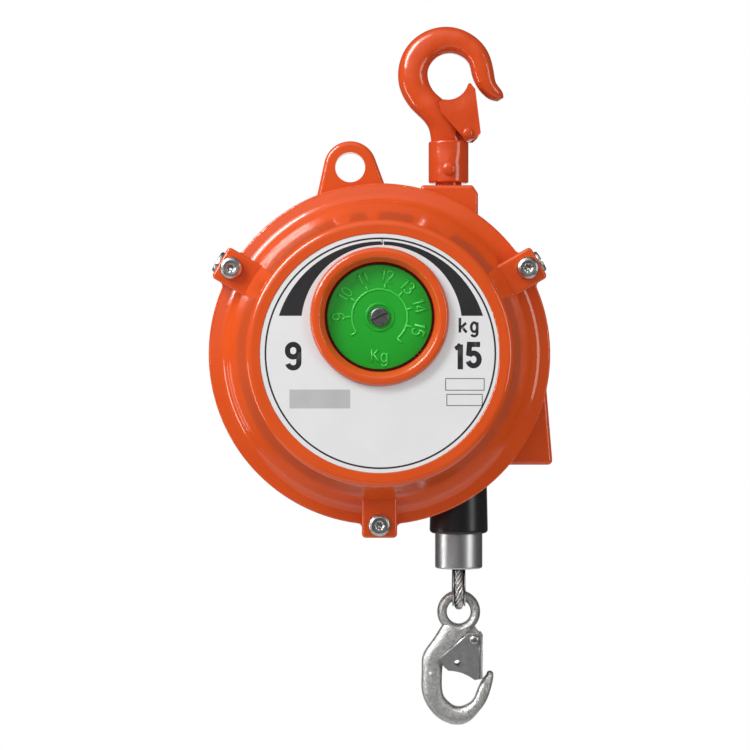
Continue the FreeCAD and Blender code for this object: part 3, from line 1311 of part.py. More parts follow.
PIECES = {
    "front_cover": front_cover, "rear_housing": rear_housing, "rear_cap": rear_cap,
    "cap_screws": cap_screws, "case_bolts": case_bolts, "side_screws": side_screws,
    "nameplate": nameplate, "load_dial": load_dial, "dial_gear": dial_gear,
    "dial_screw": dial_screw, "idler_gear": idler_gear, "idler_pin": idler_pin,
    "shaft_pinion": shaft_pinion, "main_shaft": main_shaft, "shaft_keys": shaft_keys,
    "shaft_clip": shaft_clip, "spring_arbor": spring_arbor, "worm_wheel": worm_wheel,
    "front_bush": front_bush, "rear_bush": rear_bush, "rope_drum": rope_drum,
    "drum_bushes": drum_bushes, "spring_case": spring_case,
    "spring_case_cover": spring_case_cover, "drum_screws": drum_screws,
    "mainspring": mainspring, "rope_wraps": rope_wraps, "rope_anchor": rope_anchor,
    "pawl_pin": pawl_pin, "lock_pawl": lock_pawl, "ratchet_segment": ratchet_segment,
    "worm": worm, "worm_bushes": worm_bushes, "worm_retainer": worm_retainer,
    "rope_guide": rope_guide, "rope_lead": rope_lead, "rope_fall": rope_fall,
    "rope_bumper": rope_bumper, "rope_stop": rope_stop, "rope_ferrule": rope_ferrule,
    "rope_eye": rope_eye, "thimble": thimble, "lower_hook": lower_hook,
    "lower_latch": lower_latch, "lower_rivet": lower_rivet,
    "lower_latch_spring": lower_latch_spring, "upper_hook": upper_hook,
    "swivel_stem": swivel_stem, "collar_pin": collar_pin, "stem_nut": stem_nut,
    "thrust_washer": thrust_washer, "cotter_pin": cotter_pin, "upper_latch": upper_latch,
    "upper_rivet": upper_rivet, "upper_latch_spring": upper_latch_spring,
}

os.makedirs("parts", exist_ok=True)
for name, make in PIECES.items():
    shape = make()
    shape.exportStep("parts/" + name + ".step")
    print(name, len(shape.Solids), "solids", round(shape.Volume, 1), "mm3", shape.isValid())
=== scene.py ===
"""Looks of the spring tool balancer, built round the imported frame.

Lengths are in metres in the frame's axes (+Z up, the front faces -Y), or in mm where a
comment says so.
"""
import bpy
import bmesh
import json
import math
from mathutils import Vector, Matrix


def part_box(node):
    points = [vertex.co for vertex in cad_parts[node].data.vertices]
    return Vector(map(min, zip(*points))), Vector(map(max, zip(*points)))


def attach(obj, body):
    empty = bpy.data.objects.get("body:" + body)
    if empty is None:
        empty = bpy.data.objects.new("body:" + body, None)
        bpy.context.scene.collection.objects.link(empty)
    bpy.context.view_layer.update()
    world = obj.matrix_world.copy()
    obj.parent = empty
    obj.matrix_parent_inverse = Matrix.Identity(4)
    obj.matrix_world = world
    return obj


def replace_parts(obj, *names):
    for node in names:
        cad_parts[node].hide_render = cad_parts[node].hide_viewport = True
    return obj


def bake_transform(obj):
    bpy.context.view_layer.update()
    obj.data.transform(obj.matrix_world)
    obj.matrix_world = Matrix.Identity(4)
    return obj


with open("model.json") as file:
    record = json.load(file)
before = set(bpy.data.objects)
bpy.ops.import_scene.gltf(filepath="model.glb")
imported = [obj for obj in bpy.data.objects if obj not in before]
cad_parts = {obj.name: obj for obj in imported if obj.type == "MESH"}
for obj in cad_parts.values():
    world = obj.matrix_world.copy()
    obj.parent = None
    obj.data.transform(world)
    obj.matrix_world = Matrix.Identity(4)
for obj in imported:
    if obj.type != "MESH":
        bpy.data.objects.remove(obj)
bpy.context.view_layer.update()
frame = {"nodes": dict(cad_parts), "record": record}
MM = 0.001


def node_box(name):
    lo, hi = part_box(name)
    return Vector(lo), Vector(hi)


latch_lo = node_box("lower_latch")[0]
hook_lo, hook_hi = node_box("lower_hook")
eye_lo, eye_hi = node_box("rope_eye")
ROPE_X = (eye_lo.x + eye_hi.x) / 2
ROPE_R = (eye_hi.x - eye_lo.x) / 2
plate_lo, plate_hi = node_box("nameplate")
PLATE_X = (plate_lo.x + plate_hi.x) / 2
PLATE_Z = (plate_lo.z + plate_hi.z) / 2
PLATE_FACE = plate_lo.y
dial_lo, dial_hi = node_box("load_dial")
DIAL_X = (dial_lo.x + dial_hi.x) / 2
DIAL_Z = (dial_lo.z + dial_hi.z) / 2
DIAL_THICK = 2.5 * MM
DIAL_FACE = dial_hi.y - DIAL_THICK


def add_object(name, data):
    obj = bpy.data.objects.new(name, data)
    bpy.context.scene.collection.objects.link(obj)
    return obj


# ------------------------------------------------------------------ shader nodes
class NodeTree:
    """Small helper that adds and joins shader nodes."""

    def __init__(self, tree):
        self.tree = tree

    def add(self, kind, **values):
        """New node; each value goes to its setting or, if it has none, to its input."""
        node = self.tree.nodes.new(kind)
        for key, value in values.items():
            if hasattr(node, key) and key not in node.inputs:
                setattr(node, key, value)
            else:
                node.inputs[key].default_value = value
        return node

    def link(self, a, b):
        self.tree.links.new(a, b)

    def give(self, socket, value):
        """Links an output to the socket, or sets a plain value on it."""
        if isinstance(value, bpy.types.NodeSocket):
            self.link(value, socket)
        else:
            socket.default_value = value

    def spread(self, source, low, high, start=0.0, end=1.0, ease="LINEAR"):
        """Maps start..end to low..high, and holds beyond."""
        node = self.add("ShaderNodeMapRange", interpolation_type=ease)
        for key, value in (("From Min", start), ("From Max", end), ("To Min", low),
                           ("To Max", high), ("Value", source)):
            self.give(node.inputs[key], value)
        return node.outputs["Result"]

    def maths(self, operation, *values, kind="ShaderNodeMath"):
        node = self.add(kind, operation=operation)
        for socket, value in zip(node.inputs, values):
            self.give(socket, value)
        return node

    def split(self, vector):
        node = self.add("ShaderNodeSeparateXYZ")
        self.link(vector, node.inputs["Vector"])
        return node.outputs


class Look(NodeTree):
    """Principled material that is being built."""

    def __init__(self, name):
        self.material = bpy.data.materials.new(name)
        self.material.use_nodes = True
        super().__init__(self.material.node_tree)
        self.shader = self.tree.nodes["Principled BSDF"]

    def noise(self, scale, detail=4.0, rough=0.55, stretch=(1, 1, 1)):
        place = self.add("ShaderNodeTexCoord")
        mapping = self.add("ShaderNodeMapping")
        mapping.inputs["Scale"].default_value = stretch
        self.link(place.outputs["Object"], mapping.inputs["Vector"])
        noise = self.add("ShaderNodeTexNoise", Scale=scale, Detail=detail, Roughness=rough)
        self.link(mapping.outputs["Vector"], noise.inputs["Vector"])
        return noise.outputs["Fac"]

    def ramp(self, source, low, high, start=0.3, end=0.7):
        """Colour that runs from low at start to high at end."""
        ramp = self.add("ShaderNodeValToRGB")
        bands = zip(ramp.color_ramp.elements, (start, end), (low, high))
        for band, place, colour in bands:
            band.position = place
            band.color = (*colour, 1.0)
        self.link(source, ramp.inputs["Fac"])
        return ramp.outputs["Color"]

    def bump(self, source, strength, distance, before=None):
        node = self.add("ShaderNodeBump", Strength=strength, Distance=distance)
        self.link(source, node.inputs["Height"])
        if before is not None:
            self.link(before, node.inputs["Normal"])
        return node.outputs["Normal"]

    def shade(self, values):
        """Gives the shader's inputs their values or links."""
        for key, value in values.items():
            self.give(self.shader.inputs[key], value)


# ------------------------------------------------------------------ materials
# The colour and the roughness wander between the two values given. Noise scales are per
# metre, and bump depths are in metres.
MATERIALS = {}


def paint(name, base, dark, peel, rough, coat, wave=0.0):
    """Gloss paint with slight orange peel and uneven film, on metal that may be wavy."""
    n = Look(name)
    n.shade({"Specular IOR Level": 0.42, "Coat Weight": coat, "Coat Roughness": 0.06,
             "Base Color": n.ramp(n.noise(28.0, 3.0), dark, base),
             "Roughness": n.spread(n.noise(55.0, 3.0), *rough)})
    film = n.bump(n.noise(150.0, 1.5), peel, 0.002)
    if wave:
        film = n.bump(n.noise(46.0, 1.0, stretch=(1, 0.3, 1)), wave, 0.008, film)
    n.shade({"Normal": film, "Coat Normal": film})
    MATERIALS[name] = n.material


def metal(name, light, dark, rough, grain, bump, stretch=(1, 1, 1), depth=0.0004,
          metallic=1.0):
    """Bare metal with a fine grain, which stretch draws out along an axis."""
    n = Look(name)
    tint = n.noise(grain * 0.35, 5.0, 0.65, stretch)
    wear = n.noise(grain * 0.6, 4.0, 0.6, stretch)
    n.shade({"Metallic": metallic, "Base Color": n.ramp(tint, dark, light),
             "Roughness": n.spread(wear, *rough),
             "Normal": n.bump(n.noise(grain, 5.0, 0.6, stretch), bump, depth)})
    MATERIALS[name] = n.material


def plastic(name, light, dark, rough, grain, bump):
    """Plastic, rubber or print with a faint skin."""
    n = Look(name)
    n.shade({"Specular IOR Level": 0.5,
             "Base Color": n.ramp(n.noise(60.0), dark, light),
             "Roughness": n.spread(n.noise(240.0), *rough),
             "Normal": n.bump(n.noise(grain, 3.0), bump, 0.0003)})
    MATERIALS[name] = n.material


STRANDS = 6


def laid_rope(name, lay=0.016):
    """Strands round the rope that falls along Z, told apart by grooves painted dark as
    painted shade, and by a bump.
    """
    n = Look(name)
    x, y, z = n.split(n.add("ShaderNodeTexCoord").outputs["Object"])
    across = n.maths("SUBTRACT", x, ROPE_X).outputs[0]
    angle = n.maths("ARCTAN2", y, across).outputs[0]
    fall = n.maths("MULTIPLY", z, 2 * math.pi / lay).outputs[0]
    phase = n.maths("SUBTRACT", angle, fall).outputs[0]
    sine = n.maths("SINE", n.maths("MULTIPLY", phase, STRANDS / 2).outputs[0]).outputs[0]
    crest = n.maths("ABSOLUTE", sine).outputs[0]
    # The near-black colour in the grooves between strands is painted shade.
    n.shade({"Metallic": 1.0, "Roughness": 0.36,
             "Base Color": n.ramp(crest, (0.05, 0.05, 0.05), (0.55, 0.55, 0.53), 0.05, 0.45),
             "Normal": n.bump(crest, 1.0, 0.0006)})
    MATERIALS[name] = n.material


paint("casting_paint", (0.70, 0.088, 0.014), (0.66, 0.078, 0.011),
      peel=0.04, rough=(0.11, 0.17), coat=0.4)
paint("hook_paint", (0.67, 0.078, 0.013), (0.60, 0.063, 0.010),
      peel=0.12, rough=(0.12, 0.26), coat=0.45, wave=0.34)
plastic("plate_print", (0.76, 0.76, 0.77), (0.73, 0.73, 0.74),
        rough=(0.3, 0.38), grain=1600, bump=0.02)
plastic("print_black", (0.022, 0.022, 0.024), (0.017, 0.017, 0.019),
        rough=(0.35, 0.45), grain=1600, bump=0.02)
plastic("print_grey", (0.50, 0.50, 0.50), (0.44, 0.44, 0.45),
        rough=(0.35, 0.45), grain=1600, bump=0.04)
plastic("dial_green", (0.012, 0.38, 0.022), (0.010, 0.35, 0.018),
        rough=(0.26, 0.36), grain=1200, bump=0.03)
# The lighter green on the dial's raised signs and scale is a painted highlight.
plastic("dial_relief_highlight", (0.050, 0.62, 0.07), (0.040, 0.55, 0.055),
        rough=(0.2, 0.3), grain=1200, bump=0.03)
metal("zinc_steel", (0.68, 0.68, 0.66), (0.46, 0.46, 0.45),
      rough=(0.22, 0.42), grain=900, bump=0.12)
# bright_zinc also draws the painted highlight along the lower latch's edge.
metal("bright_zinc", (0.92, 0.92, 0.92), (0.80, 0.80, 0.80),
      rough=(0.22, 0.34), grain=1500, bump=0.05)
# dark_steel also paints the shade on the screw drive floors and along the latch's fold.
metal("dark_steel", (0.26, 0.26, 0.265), (0.15, 0.15, 0.155),
      rough=(0.32, 0.5), grain=1500, bump=0.25)
metal("turned_steel", (0.62, 0.62, 0.62), (0.50, 0.50, 0.51),
      rough=(0.2, 0.35), grain=1200, bump=0.1, stretch=(1, 9, 1))
metal("stop_steel", (0.74, 0.74, 0.75), (0.64, 0.64, 0.65),
      rough=(0.34, 0.42), grain=1400, bump=0.06, stretch=(1, 1, 12))
metal("spring_steel", (0.28, 0.31, 0.38), (0.18, 0.19, 0.24),
      rough=(0.25, 0.4), grain=1200, bump=0.1)
metal("bronze", (0.62, 0.42, 0.19), (0.47, 0.30, 0.12),
      rough=(0.35, 0.55), grain=1600, bump=0.15)
metal("cast_alloy", (0.62, 0.62, 0.63), (0.48, 0.48, 0.50),
      rough=(0.38, 0.6), grain=900, bump=0.3)
metal("forged_zinc", (0.72, 0.72, 0.70), (0.36, 0.36, 0.35),
      rough=(0.20, 0.42), grain=1900, bump=0.6, depth=0.0006, metallic=0.86)
metal("latch_zinc", (0.58, 0.58, 0.59), (0.42, 0.42, 0.43),
      rough=(0.40, 0.52), grain=900, bump=0.16)
metal("wire_rope", (0.84, 0.83, 0.80), (0.55, 0.54, 0.52),
      rough=(0.22, 0.4), grain=1600, bump=0.1)
laid_rope("rope_strands")
plastic("rubber_black", (0.018, 0.017, 0.017), (0.012, 0.011, 0.011),
        rough=(0.26, 0.36), grain=700, bump=0.1)
plastic("nylon", (0.72, 0.69, 0.60), (0.66, 0.63, 0.54),
        rough=(0.4, 0.55), grain=900, bump=0.05)

# These nodes look other than their material slot says.
OWN_LOOK = {"rope_stop": "stop_steel", "lower_latch": "latch_zinc"}
for part in frame["record"]["subparts"]:
    node = frame["nodes"][part["node"]]
    look = MATERIALS[OWN_LOOK.get(part["node"], part["material_slot"])]
    if not node.material_slots:
        node.data.materials.append(look)
    for slot in node.material_slots:
        slot.material = look


# ------------------------------------------------------------------ mesh helpers
def placed(name, mesh, body, look):
    obj = add_object(name, mesh)
    mesh.materials.clear()
    mesh.materials.append(MATERIALS[look])
    if body:
        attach(obj, body)
    return obj


def mesh_from(bm, name, smooth=lambda face: True, crease=None):
    """Mesh with its faces turned outwards; edges over the crease angle stay sharp."""
    bmesh.ops.recalc_face_normals(bm, faces=bm.faces)
    if crease is not None:
        for edge in bm.edges:
            edge.smooth = edge.calc_face_angle() < crease
    mesh = bpy.data.meshes.new(name)
    bm.to_mesh(mesh)
    bm.free()
    for face in mesh.polygons:
        face.use_smooth = smooth(face)
    return mesh


def new_ring(bm, steps, spot):
    """Vertices once round; spot(angle) gives the place of each."""
    return [bm.verts.new(spot(2 * math.pi * k / steps)) for k in range(steps)]


def front_ring(bm, steps, x, y, z, reach):
    """Ring round x, z in the plane at y; reach(angle) is its radius there."""
    return new_ring(bm, steps, lambda a: (x + reach(a) * math.cos(a), y,
                                          z + reach(a) * math.sin(a)))


def join_rings(bm, rings):
    """Quads between each ring and the next."""
    for one, two in zip(rings, rings[1:]):
        count = len(one)
        for k in range(count):
            bm.faces.new((one[k], one[(k + 1) % count], two[(k + 1) % count], two[k]))


def arc(x, z, rx, rz, start, end, steps=14):
    """Points on an ellipse round x, z between two angles in degrees."""
    points = []
    for i in range(steps + 1):
        a = math.radians(start + (end - start) * i / steps)
        points.append((x + rx * math.cos(a), z + rz * math.sin(a)))
    return points


def ridge_piece(name, strokes, half, rise, place, body, look):
    """Rounded ridges along strokes; place(u, v, height) puts a stroke's point in space."""
    steps = 6                 # across the half round
    least_turn = 0.7          # keeps a sharp corner from growing a spike
    bm = bmesh.new()
    for path in strokes:
        closed = math.dist(path[0], path[-1]) < 1e-6
        path = path[:-1] if closed else path
        count = len(path)
        rows = []
        for i, (u, v) in enumerate(path):
            before = path[i - 1] if closed or i else path[i]
            after = path[(i + 1) % count] if closed or i < count - 1 else path[i]
            run = Vector((after[0] - before[0], after[1] - before[1])).normalized()
            last = Vector((u - before[0], v - before[1]))
            wide = half
            if last.length >= 1e-9:
                wide = half / max(least_turn, run.dot(last.normalized()))
            rows.append([bm.verts.new(place(u - run.y * wide * math.cos(a),
                                            v + run.x * wide * math.cos(a),
                                            rise * math.sin(a)))
                         for a in (math.pi * k / steps for k in range(steps + 1))])
        for i in range(count if closed else count - 1):
            a, b = rows[i], rows[(i + 1) % count]
            for k in range(steps):
                bm.faces.new((a[k], a[k + 1], b[k + 1], b[k]))
        if not closed:
            bm.faces.new(rows[0])
            bm.faces.new(list(reversed(rows[-1])))
    mesh = mesh_from(bm, name, smooth=lambda face: len(face.vertices) == 4)
    return placed(name, mesh, body, look)


# ------------------------------------------------------------------ plate print
INK = 0.04 * MM               # how far the print stands off the plate


def plate_sheet(name, outlines, look="print_black"):
    """Thin printed piece from closed outlines in mm from the plate's middle."""
    bm = bmesh.new()
    for outline in outlines:
        front, back = ([bm.verts.new((PLATE_X + x * MM, y, PLATE_Z + z * MM))
                        for x, z in outline] for y in (PLATE_FACE - INK, PLATE_FACE + INK))
        bm.faces.new(front)
        bm.faces.new(list(reversed(back)))
        count = len(front)
        for i in range(count):
            j = (i + 1) % count
            bm.faces.new((front[i], back[i], back[j], front[j]))
    return placed(name, mesh_from(bm, name, smooth=lambda face: False), "housing", look)


def border_quads(middle_x=0.4, r_out=60.3, r_in=59.4, steps=128):
    """Printed ring at the plate's edge, as short quads."""
    quads = []
    for i in range(steps):
        a, b = 2 * math.pi * i / steps, 2 * math.pi * (i + 1) / steps
        quads.append([(middle_x + r * math.cos(t), r * math.sin(t))
                      for r, t in ((r_in, a), (r_out, a), (r_out, b), (r_in, b))])
    return quads


def frame_quads(x0, x1, z0, z1, line=0.35):
    """Thin line round a field."""
    return [[(x0, z0), (x1, z0), (x1, z0 + line), (x0, z0 + line)],
            [(x0, z1 - line), (x1, z1 - line), (x1, z1), (x0, z1)],
            [(x0, z0 + line), (x0 + line, z0 + line), (x0 + line, z1 - line),
             (x0, z1 - line)],
            [(x1 - line, z0 + line), (x1, z0 + line), (x1, z1 - line),
             (x1 - line, z1 - line)]]


def crescent_quads():
    """Band between two circles that aren't concentric, cut flat at its foot."""
    circles = ((0.7, 2.5, 55.8), (1.0, 14.5, 41.9))      # x, z and radius, outer first
    foot = 19.5
    steps = 96
    gap = 47                  # the quad left out below the index

    def rim(circle, j):
        x, z, radius = circle
        start = math.asin((foot - z) / radius)
        a = start + (math.pi - 2 * start) * j / steps
        return x + radius * math.cos(a), z + radius * math.sin(a)

    outer, inner = ([rim(circle, j) for j in range(steps + 1)] for circle in circles)
    return [[outer[i], outer[i + 1], inner[i + 1], inner[i]]
            for i in range(steps) if i != gap]


plate_sheet("plate_border", border_quads())
plate_sheet("plate_crescent", crescent_quads())
plate_sheet("plate_index", [[(1.1, 59.7), (1.1, 57.6), (1.5, 57.6), (1.5, 59.7)],
                            [(0.6, 57.6), (1.3, 56.2), (2.0, 57.6)]])
plate_sheet("plate_field", [[(-46.9, -28.7), (-15.3, -28.7), (-15.3, -18.9),
                             (-46.9, -18.9)]], look="print_grey")
plate_sheet("plate_fields_right", frame_quads(34.2, 54.6, -19.4, -13.0)
            + frame_quads(34.8, 53.6, -27.4, -21.2))


def print_strokes(name, strokes, x, z, half):
    """Bold printed strokes in mm round x, z on the plate."""
    return ridge_piece(name, strokes, half, INK / MM,
                       lambda u, v, up: (PLATE_X + (x + u) * MM, PLATE_FACE - up * MM,
                                         PLATE_Z + (z + v) * MM),
                       "housing", "print_black")


HIGH_Z = -1.3                 # middle of the high load's numerals
print_strokes("plate_low", [
    arc(0, 3.2, 2.95, 2.9, 0, 180, 12) + arc(0, 2.5, 2.95, 2.9, 180, 360, 12) + [(2.95, 3.2)],
    [(2.95, 3.2)] + arc(0, -3.2, 2.95, 2.9, 0, -165, 16)], -45.0, -1.5, 1.38)
print_strokes("plate_high_tens", [[(0.1, 5.9), (0.1, -7.05)]], 41.9, HIGH_Z, 1.42)
print_strokes("plate_high_flag", [[(-2.6, 3.7), (-1.5, 4.2), (0.1, 6.0)]], 41.9, HIGH_Z, 1.1)
print_strokes("plate_high_ones", [
    [(3.4, 5.9), (-2.1, 5.9), (-2.55, 0.3)] + arc(0, -1.9, 2.9, 3.3, 132, -165, 18)],
    48.9, HIGH_Z, 1.38)

# Each sign has its width and its strokes, in a field one high with its foot at 0.
SIGNS = {
    "0": (0.54, [arc(0.27, 0.5, 0.25, 0.48, 0, 360, 28)]),
    "1": (0.36, [[(0.05, 0.76), (0.26, 1.0), (0.26, 0.0)]]),
    "2": (0.54, [arc(0.27, 0.73, 0.24, 0.25, 170, -35) + [(0.03, 0.0), (0.53, 0.0)]]),
    "3": (0.54, [arc(0.24, 0.76, 0.23, 0.22, 150, -80),
                 arc(0.24, 0.27, 0.27, 0.27, 85, -155)]),
    "4": (0.58, [[(0.42, 0.0), (0.42, 1.0), (0.02, 0.30), (0.57, 0.30)]]),
    "5": (0.54, [[(0.50, 1.0), (0.10, 1.0), (0.06, 0.55)]
                 + arc(0.25, 0.31, 0.27, 0.31, 120, -150)]),
    "9": (0.54, [arc(0.27, 0.71, 0.25, 0.28, 0, 360, 28),
                 [(0.52, 0.71)] + arc(0.27, 0.30, 0.25, 0.30, 0, -150)]),
    "K": (0.60, [[(0.04, 0), (0.04, 1)], [(0.54, 1), (0.04, 0.42)],
                 [(0.20, 0.60), (0.58, 0)]]),
    "k": (0.54, [[(0.06, 0), (0.06, 1)], [(0.48, 0.66), (0.06, 0.26)],
                 [(0.20, 0.38), (0.52, 0)]]),
    "g": (0.56, [arc(0.26, 0.33, 0.22, 0.33, 0, 360, 28),
                 [(0.48, 0.68), (0.48, -0.08)] + arc(0.25, -0.08, 0.23, 0.24, 0, -150)]),
}
SIGN_GAP = 0.16


def sign(name, text, x, z, height, half, rise, face_y, body, look, turn=0.0):
    """Row of signs centred on x, z in the plane at face_y, its upright turned clockwise."""
    width = sum(SIGNS[c][0] for c in text) + SIGN_GAP * (len(text) - 1)
    strokes, start = [], -width / 2
    for c in text:
        wide, paths = SIGNS[c]
        strokes += [[((start + u) * height, (v - 0.5) * height) for u, v in path]
                    for path in paths]
        start += wide + SIGN_GAP
    cos, sin = math.cos(turn), math.sin(turn)
    return ridge_piece(name, strokes, half, rise,
                       lambda u, v, up: (x + u * cos + v * sin, face_y - up,
                                         z - u * sin + v * cos), body, look)


for letter, x, z, height in (("k", 43.4, 14.6, 7.6), ("g", 49.4, 14.8, 7.2)):
    sign("plate_unit_" + letter, letter, PLATE_X + x * MM, PLATE_Z + z * MM, height * MM,
         0.70 * MM, INK, PLATE_FACE, "housing", "print_black")

# ------------------------------------------------------------------ dial
LOWEST_LOAD = 9
LOAD_ANGLES = (180, 147, 114, 80, 47.5, 15.4, -17.4)     # one for each kg, in degrees
SCALE_START, SCALE_END = 213, -50
NUMBER_R = 21.6 * MM
SCALE_R, TICK_R = 14.5, 17.9  # mm
RELIEF = 0.6                  # mm, how far signs and scale stand off the dial


def dial_sign(name, text, x, z, height, turn=0.0):
    sign(name, text, x, z, height, 0.46 * MM, RELIEF * MM, DIAL_FACE, "dial",
         "dial_relief_highlight", turn)


for index, angle in enumerate(LOAD_ANGLES):
    away = math.radians(angle)
    load = str(index + LOWEST_LOAD)
    dial_sign("dial_number_" + load, load, DIAL_X + NUMBER_R * math.cos(away),
              DIAL_Z + NUMBER_R * math.sin(away), 6.3 * MM, math.pi / 2 - away)
dial_sign("dial_unit", "Kg", DIAL_X, DIAL_Z - 20.2 * MM, 6.6 * MM)
ridge_piece("dial_scale", [arc(0, 0, SCALE_R, SCALE_R, SCALE_START, SCALE_END, 80)] + [
    [(r * math.cos(a), r * math.sin(a)) for r in (SCALE_R, TICK_R)]
    for a in map(math.radians, (SCALE_START, *LOAD_ANGLES, SCALE_END))],
    0.5, RELIEF, lambda u, v, up: (DIAL_X + u * MM, DIAL_FACE - up * MM, DIAL_Z + v * MM),
    "dial", "dial_relief_highlight")


def dial_disc():
    """Turned dial with its raised hub ring; it stands in for the CAD dial."""
    # Radius and depth behind the face, in mm, from the bore's back round to the rim's.
    profile = [(3.2, 2.5), (3.2, 0.0), (6.0, 0.0), (6.15, -0.4), (6.4, -0.55), (7.4, -0.55),
               (7.65, -0.4), (7.8, 0.0), (8.6, 0.0), (26.9, 0.0), (27.2, 0.08), (27.35, 0.35),
               (27.35, 2.5)]
    bm = bmesh.new()
    rings = [front_ring(bm, 144, DIAL_X, DIAL_FACE + y * MM, DIAL_Z, lambda a: r * MM)
             for r, y in profile]
    join_rings(bm, rings + rings[:1])
    mesh = mesh_from(bm, "dial_disc", crease=math.radians(50))
    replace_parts(placed("dial_disc", mesh, "dial", "dial_green"), "load_dial")


dial_disc()


# ------------------------------------------------------------------ rope
def tube(bm, centres, axes, radius, sides):
    """Closed tube along centres; axes gives the two directions of each ring."""
    rings = [new_ring(bm, sides, lambda t: (centre + a * radius * math.cos(t)
                                            + b * radius * math.sin(t)))
             for centre, (a, b) in zip(centres, axes)]
    join_rings(bm, rings)
    bm.faces.new(list(reversed(rings[0])))
    bm.faces.new(rings[-1])


def loop_points(step):
    """Centre line of the rope's eye: two straight legs and a round bottom."""
    loop_r = (eye_hi.y - eye_lo.y) / 2 - ROPE_R
    centre = eye_lo.z + ROPE_R + loop_r
    leg_y = ROPE_R + 0.4 * MM            # the legs stand a little apart at the ferrule
    rise = eye_hi.z - centre
    span = math.hypot(leg_y, rise)
    angle = math.atan2(rise, leg_y) - math.acos(loop_r / span)
    touch = Vector((ROPE_X, loop_r * math.cos(angle), centre + loop_r * math.sin(angle)))
    top = Vector((ROPE_X, leg_y, centre + rise))
    count = max(2, round((top - touch).length / step))
    points = [top.lerp(touch, i / count) for i in range(count)]
    sweep = math.pi + 2 * angle
    turns = round(sweep * loop_r / step)
    for i in range(turns + 1):
        a = angle - sweep * i / turns
        points.append(Vector((ROPE_X, loop_r * math.cos(a), centre + loop_r * math.sin(a))))
    back_touch = Vector((ROPE_X, -touch.y, touch.z))
    back_top = Vector((ROPE_X, -top.y, top.z))
    points += [back_touch.lerp(back_top, (i + 1) / count) for i in range(count)]
    return points


def eye_strands(lay=19 * MM, step=0.6 * MM):
    """Wire strands round a core, along the rope's eye."""
    points = loop_points(step)
    side = Vector((1, 0, 0))
    ups, along = [], [0.0]
    for i, p in enumerate(points):
        run = (points[min(i + 1, len(points) - 1)] - points[max(i - 1, 0)]).normalized()
        ups.append(run.cross(side))
        if i:
            along.append(along[-1] + (p - points[i - 1]).length)
    laid_r = ROPE_R + 0.45 * MM          # the rope opens a little where it turns
    strand = laid_r / 3
    sides = 8
    bm = bmesh.new()
    axes = [(side, up) for up in ups]
    for k in range(STRANDS):
        centres = []
        for p, up, s in zip(points, ups, along):
            a = 2 * math.pi * (k / STRANDS + s / lay)
            centres.append(p + (side * math.cos(a) + up * math.sin(a)) * (laid_r - strand))
        tube(bm, centres, axes, strand * 0.92, sides)    # thinner, so the strands part
    tube(bm, points, axes, strand, sides)
    piece = placed("eye_strands", mesh_from(bm, "eye_strands"), "rope_end", "wire_rope")
    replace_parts(piece, "rope_eye")


def falling_rope():
    """Laid rope from the guide to the ferrule, which lengthens as the load goes down."""
    lo, hi = node_box("rope_fall")
    bm = bmesh.new()
    rows = 90
    centres = [Vector((ROPE_X, 0, hi.z + (lo.z - hi.z) * i / rows)) for i in range(rows + 1)]
    axes = [(Vector((1, 0, 0)), Vector((0, 1, 0)))] * (rows + 1)
    tube(bm, centres, axes, ROPE_R, 24)
    piece = placed("falling_rope", mesh_from(bm, "falling_rope"), None, "rope_strands")
    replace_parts(piece, "rope_fall")
    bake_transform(piece)


eye_strands()
falling_rope()


# ------------------------------------------------------------------ small hardware
def head_places(node, depth=0.4 * MM, reach=20 * MM):
    """Middle and radius of each screw head; reach tells one head from the next."""
    points = [v.co.copy() for v in frame["nodes"][node].data.vertices]
    front = min(p.y for p in points)
    groups = []
    for p in points:
        if p.y > front + depth:
            continue
        for group in groups:
            if math.hypot(p.x - group[0].x, p.z - group[0].z) < reach:
                group.append(p)
                break
        else:
            groups.append([p])
    places = []
    for group in groups:
        xs, zs = [p.x for p in group], [p.z for p in group]
        places.append((Vector(((min(xs) + max(xs)) / 2, front, (min(zs) + max(zs)) / 2)),
                       (max(xs) - min(xs)) / 2))
    return places


def drive_ring(name, centre, radius, body):
    """Raised face of a screw head round a six-lobed drive recess, whose floor is painted dark
    as painted shade.
    """
    face = 0.50               # mm, the mouth of the recess
    floor = 0.04              # mm, its bottom
    # Share of the radius and height in mm, from the rim in to the mouth.
    rows = [(1.0, 0.0), (0.97, 0.35), (0.90, 0.55), (0.78, 0.62), (0.66, 0.52), (0.60, face)]

    def lobes(angle):
        return radius * (0.37 + 0.05 * math.cos(6 * angle))

    bm = bmesh.new()
    levels = [(lambda a, share=share: radius * share, rise) for share, rise in rows]
    rings = [front_ring(bm, 72, centre.x, centre.y - rise * MM, centre.z, reach)
             for reach, rise in levels + [(lobes, face), (lobes, floor)]]
    join_rings(bm, rings)
    bm.faces.new(rings[-1])
    piece = placed(name, mesh_from(bm, name), body, "zinc_steel")
    # The recess floor takes dark_steel as painted shade.
    piece.data.materials.append(MATERIALS["dark_steel"])
    bottom = max(piece.data.polygons, key=lambda polygon: len(polygon.vertices))
    bottom.material_index = 1
    return piece


for index, (middle, radius) in enumerate(head_places("case_bolts")):
    drive_ring("bolt_drive_%d" % index, middle, radius * 0.93, "housing")


def dome(name, centre, radii, body, look, axis=(0, -1, 0)):
    """Half ellipsoid on a face: radii across, up the face, and out along the axis."""
    rows, steps = 8, 32
    wide, high, deep = radii
    out = Vector(axis).normalized()
    upright = abs(out.z) >= 0.9
    up = Vector((0, 1, 0)) if upright else Vector((0, 0, 1))
    across = up.cross(out).normalized()
    up = out.cross(across)
    bm = bmesh.new()
    rings = [new_ring(bm, steps, lambda b: (centre + across * wide * math.cos(a) * math.cos(b)
                                            + up * high * math.cos(a) * math.sin(b)
                                            + out * deep * math.sin(a)))
             for a in (math.pi / 2 * i / rows for i in range(rows))]
    join_rings(bm, rings)
    bm.faces.new(rings[-1])
    return placed(name, mesh_from(bm, name), body, look)


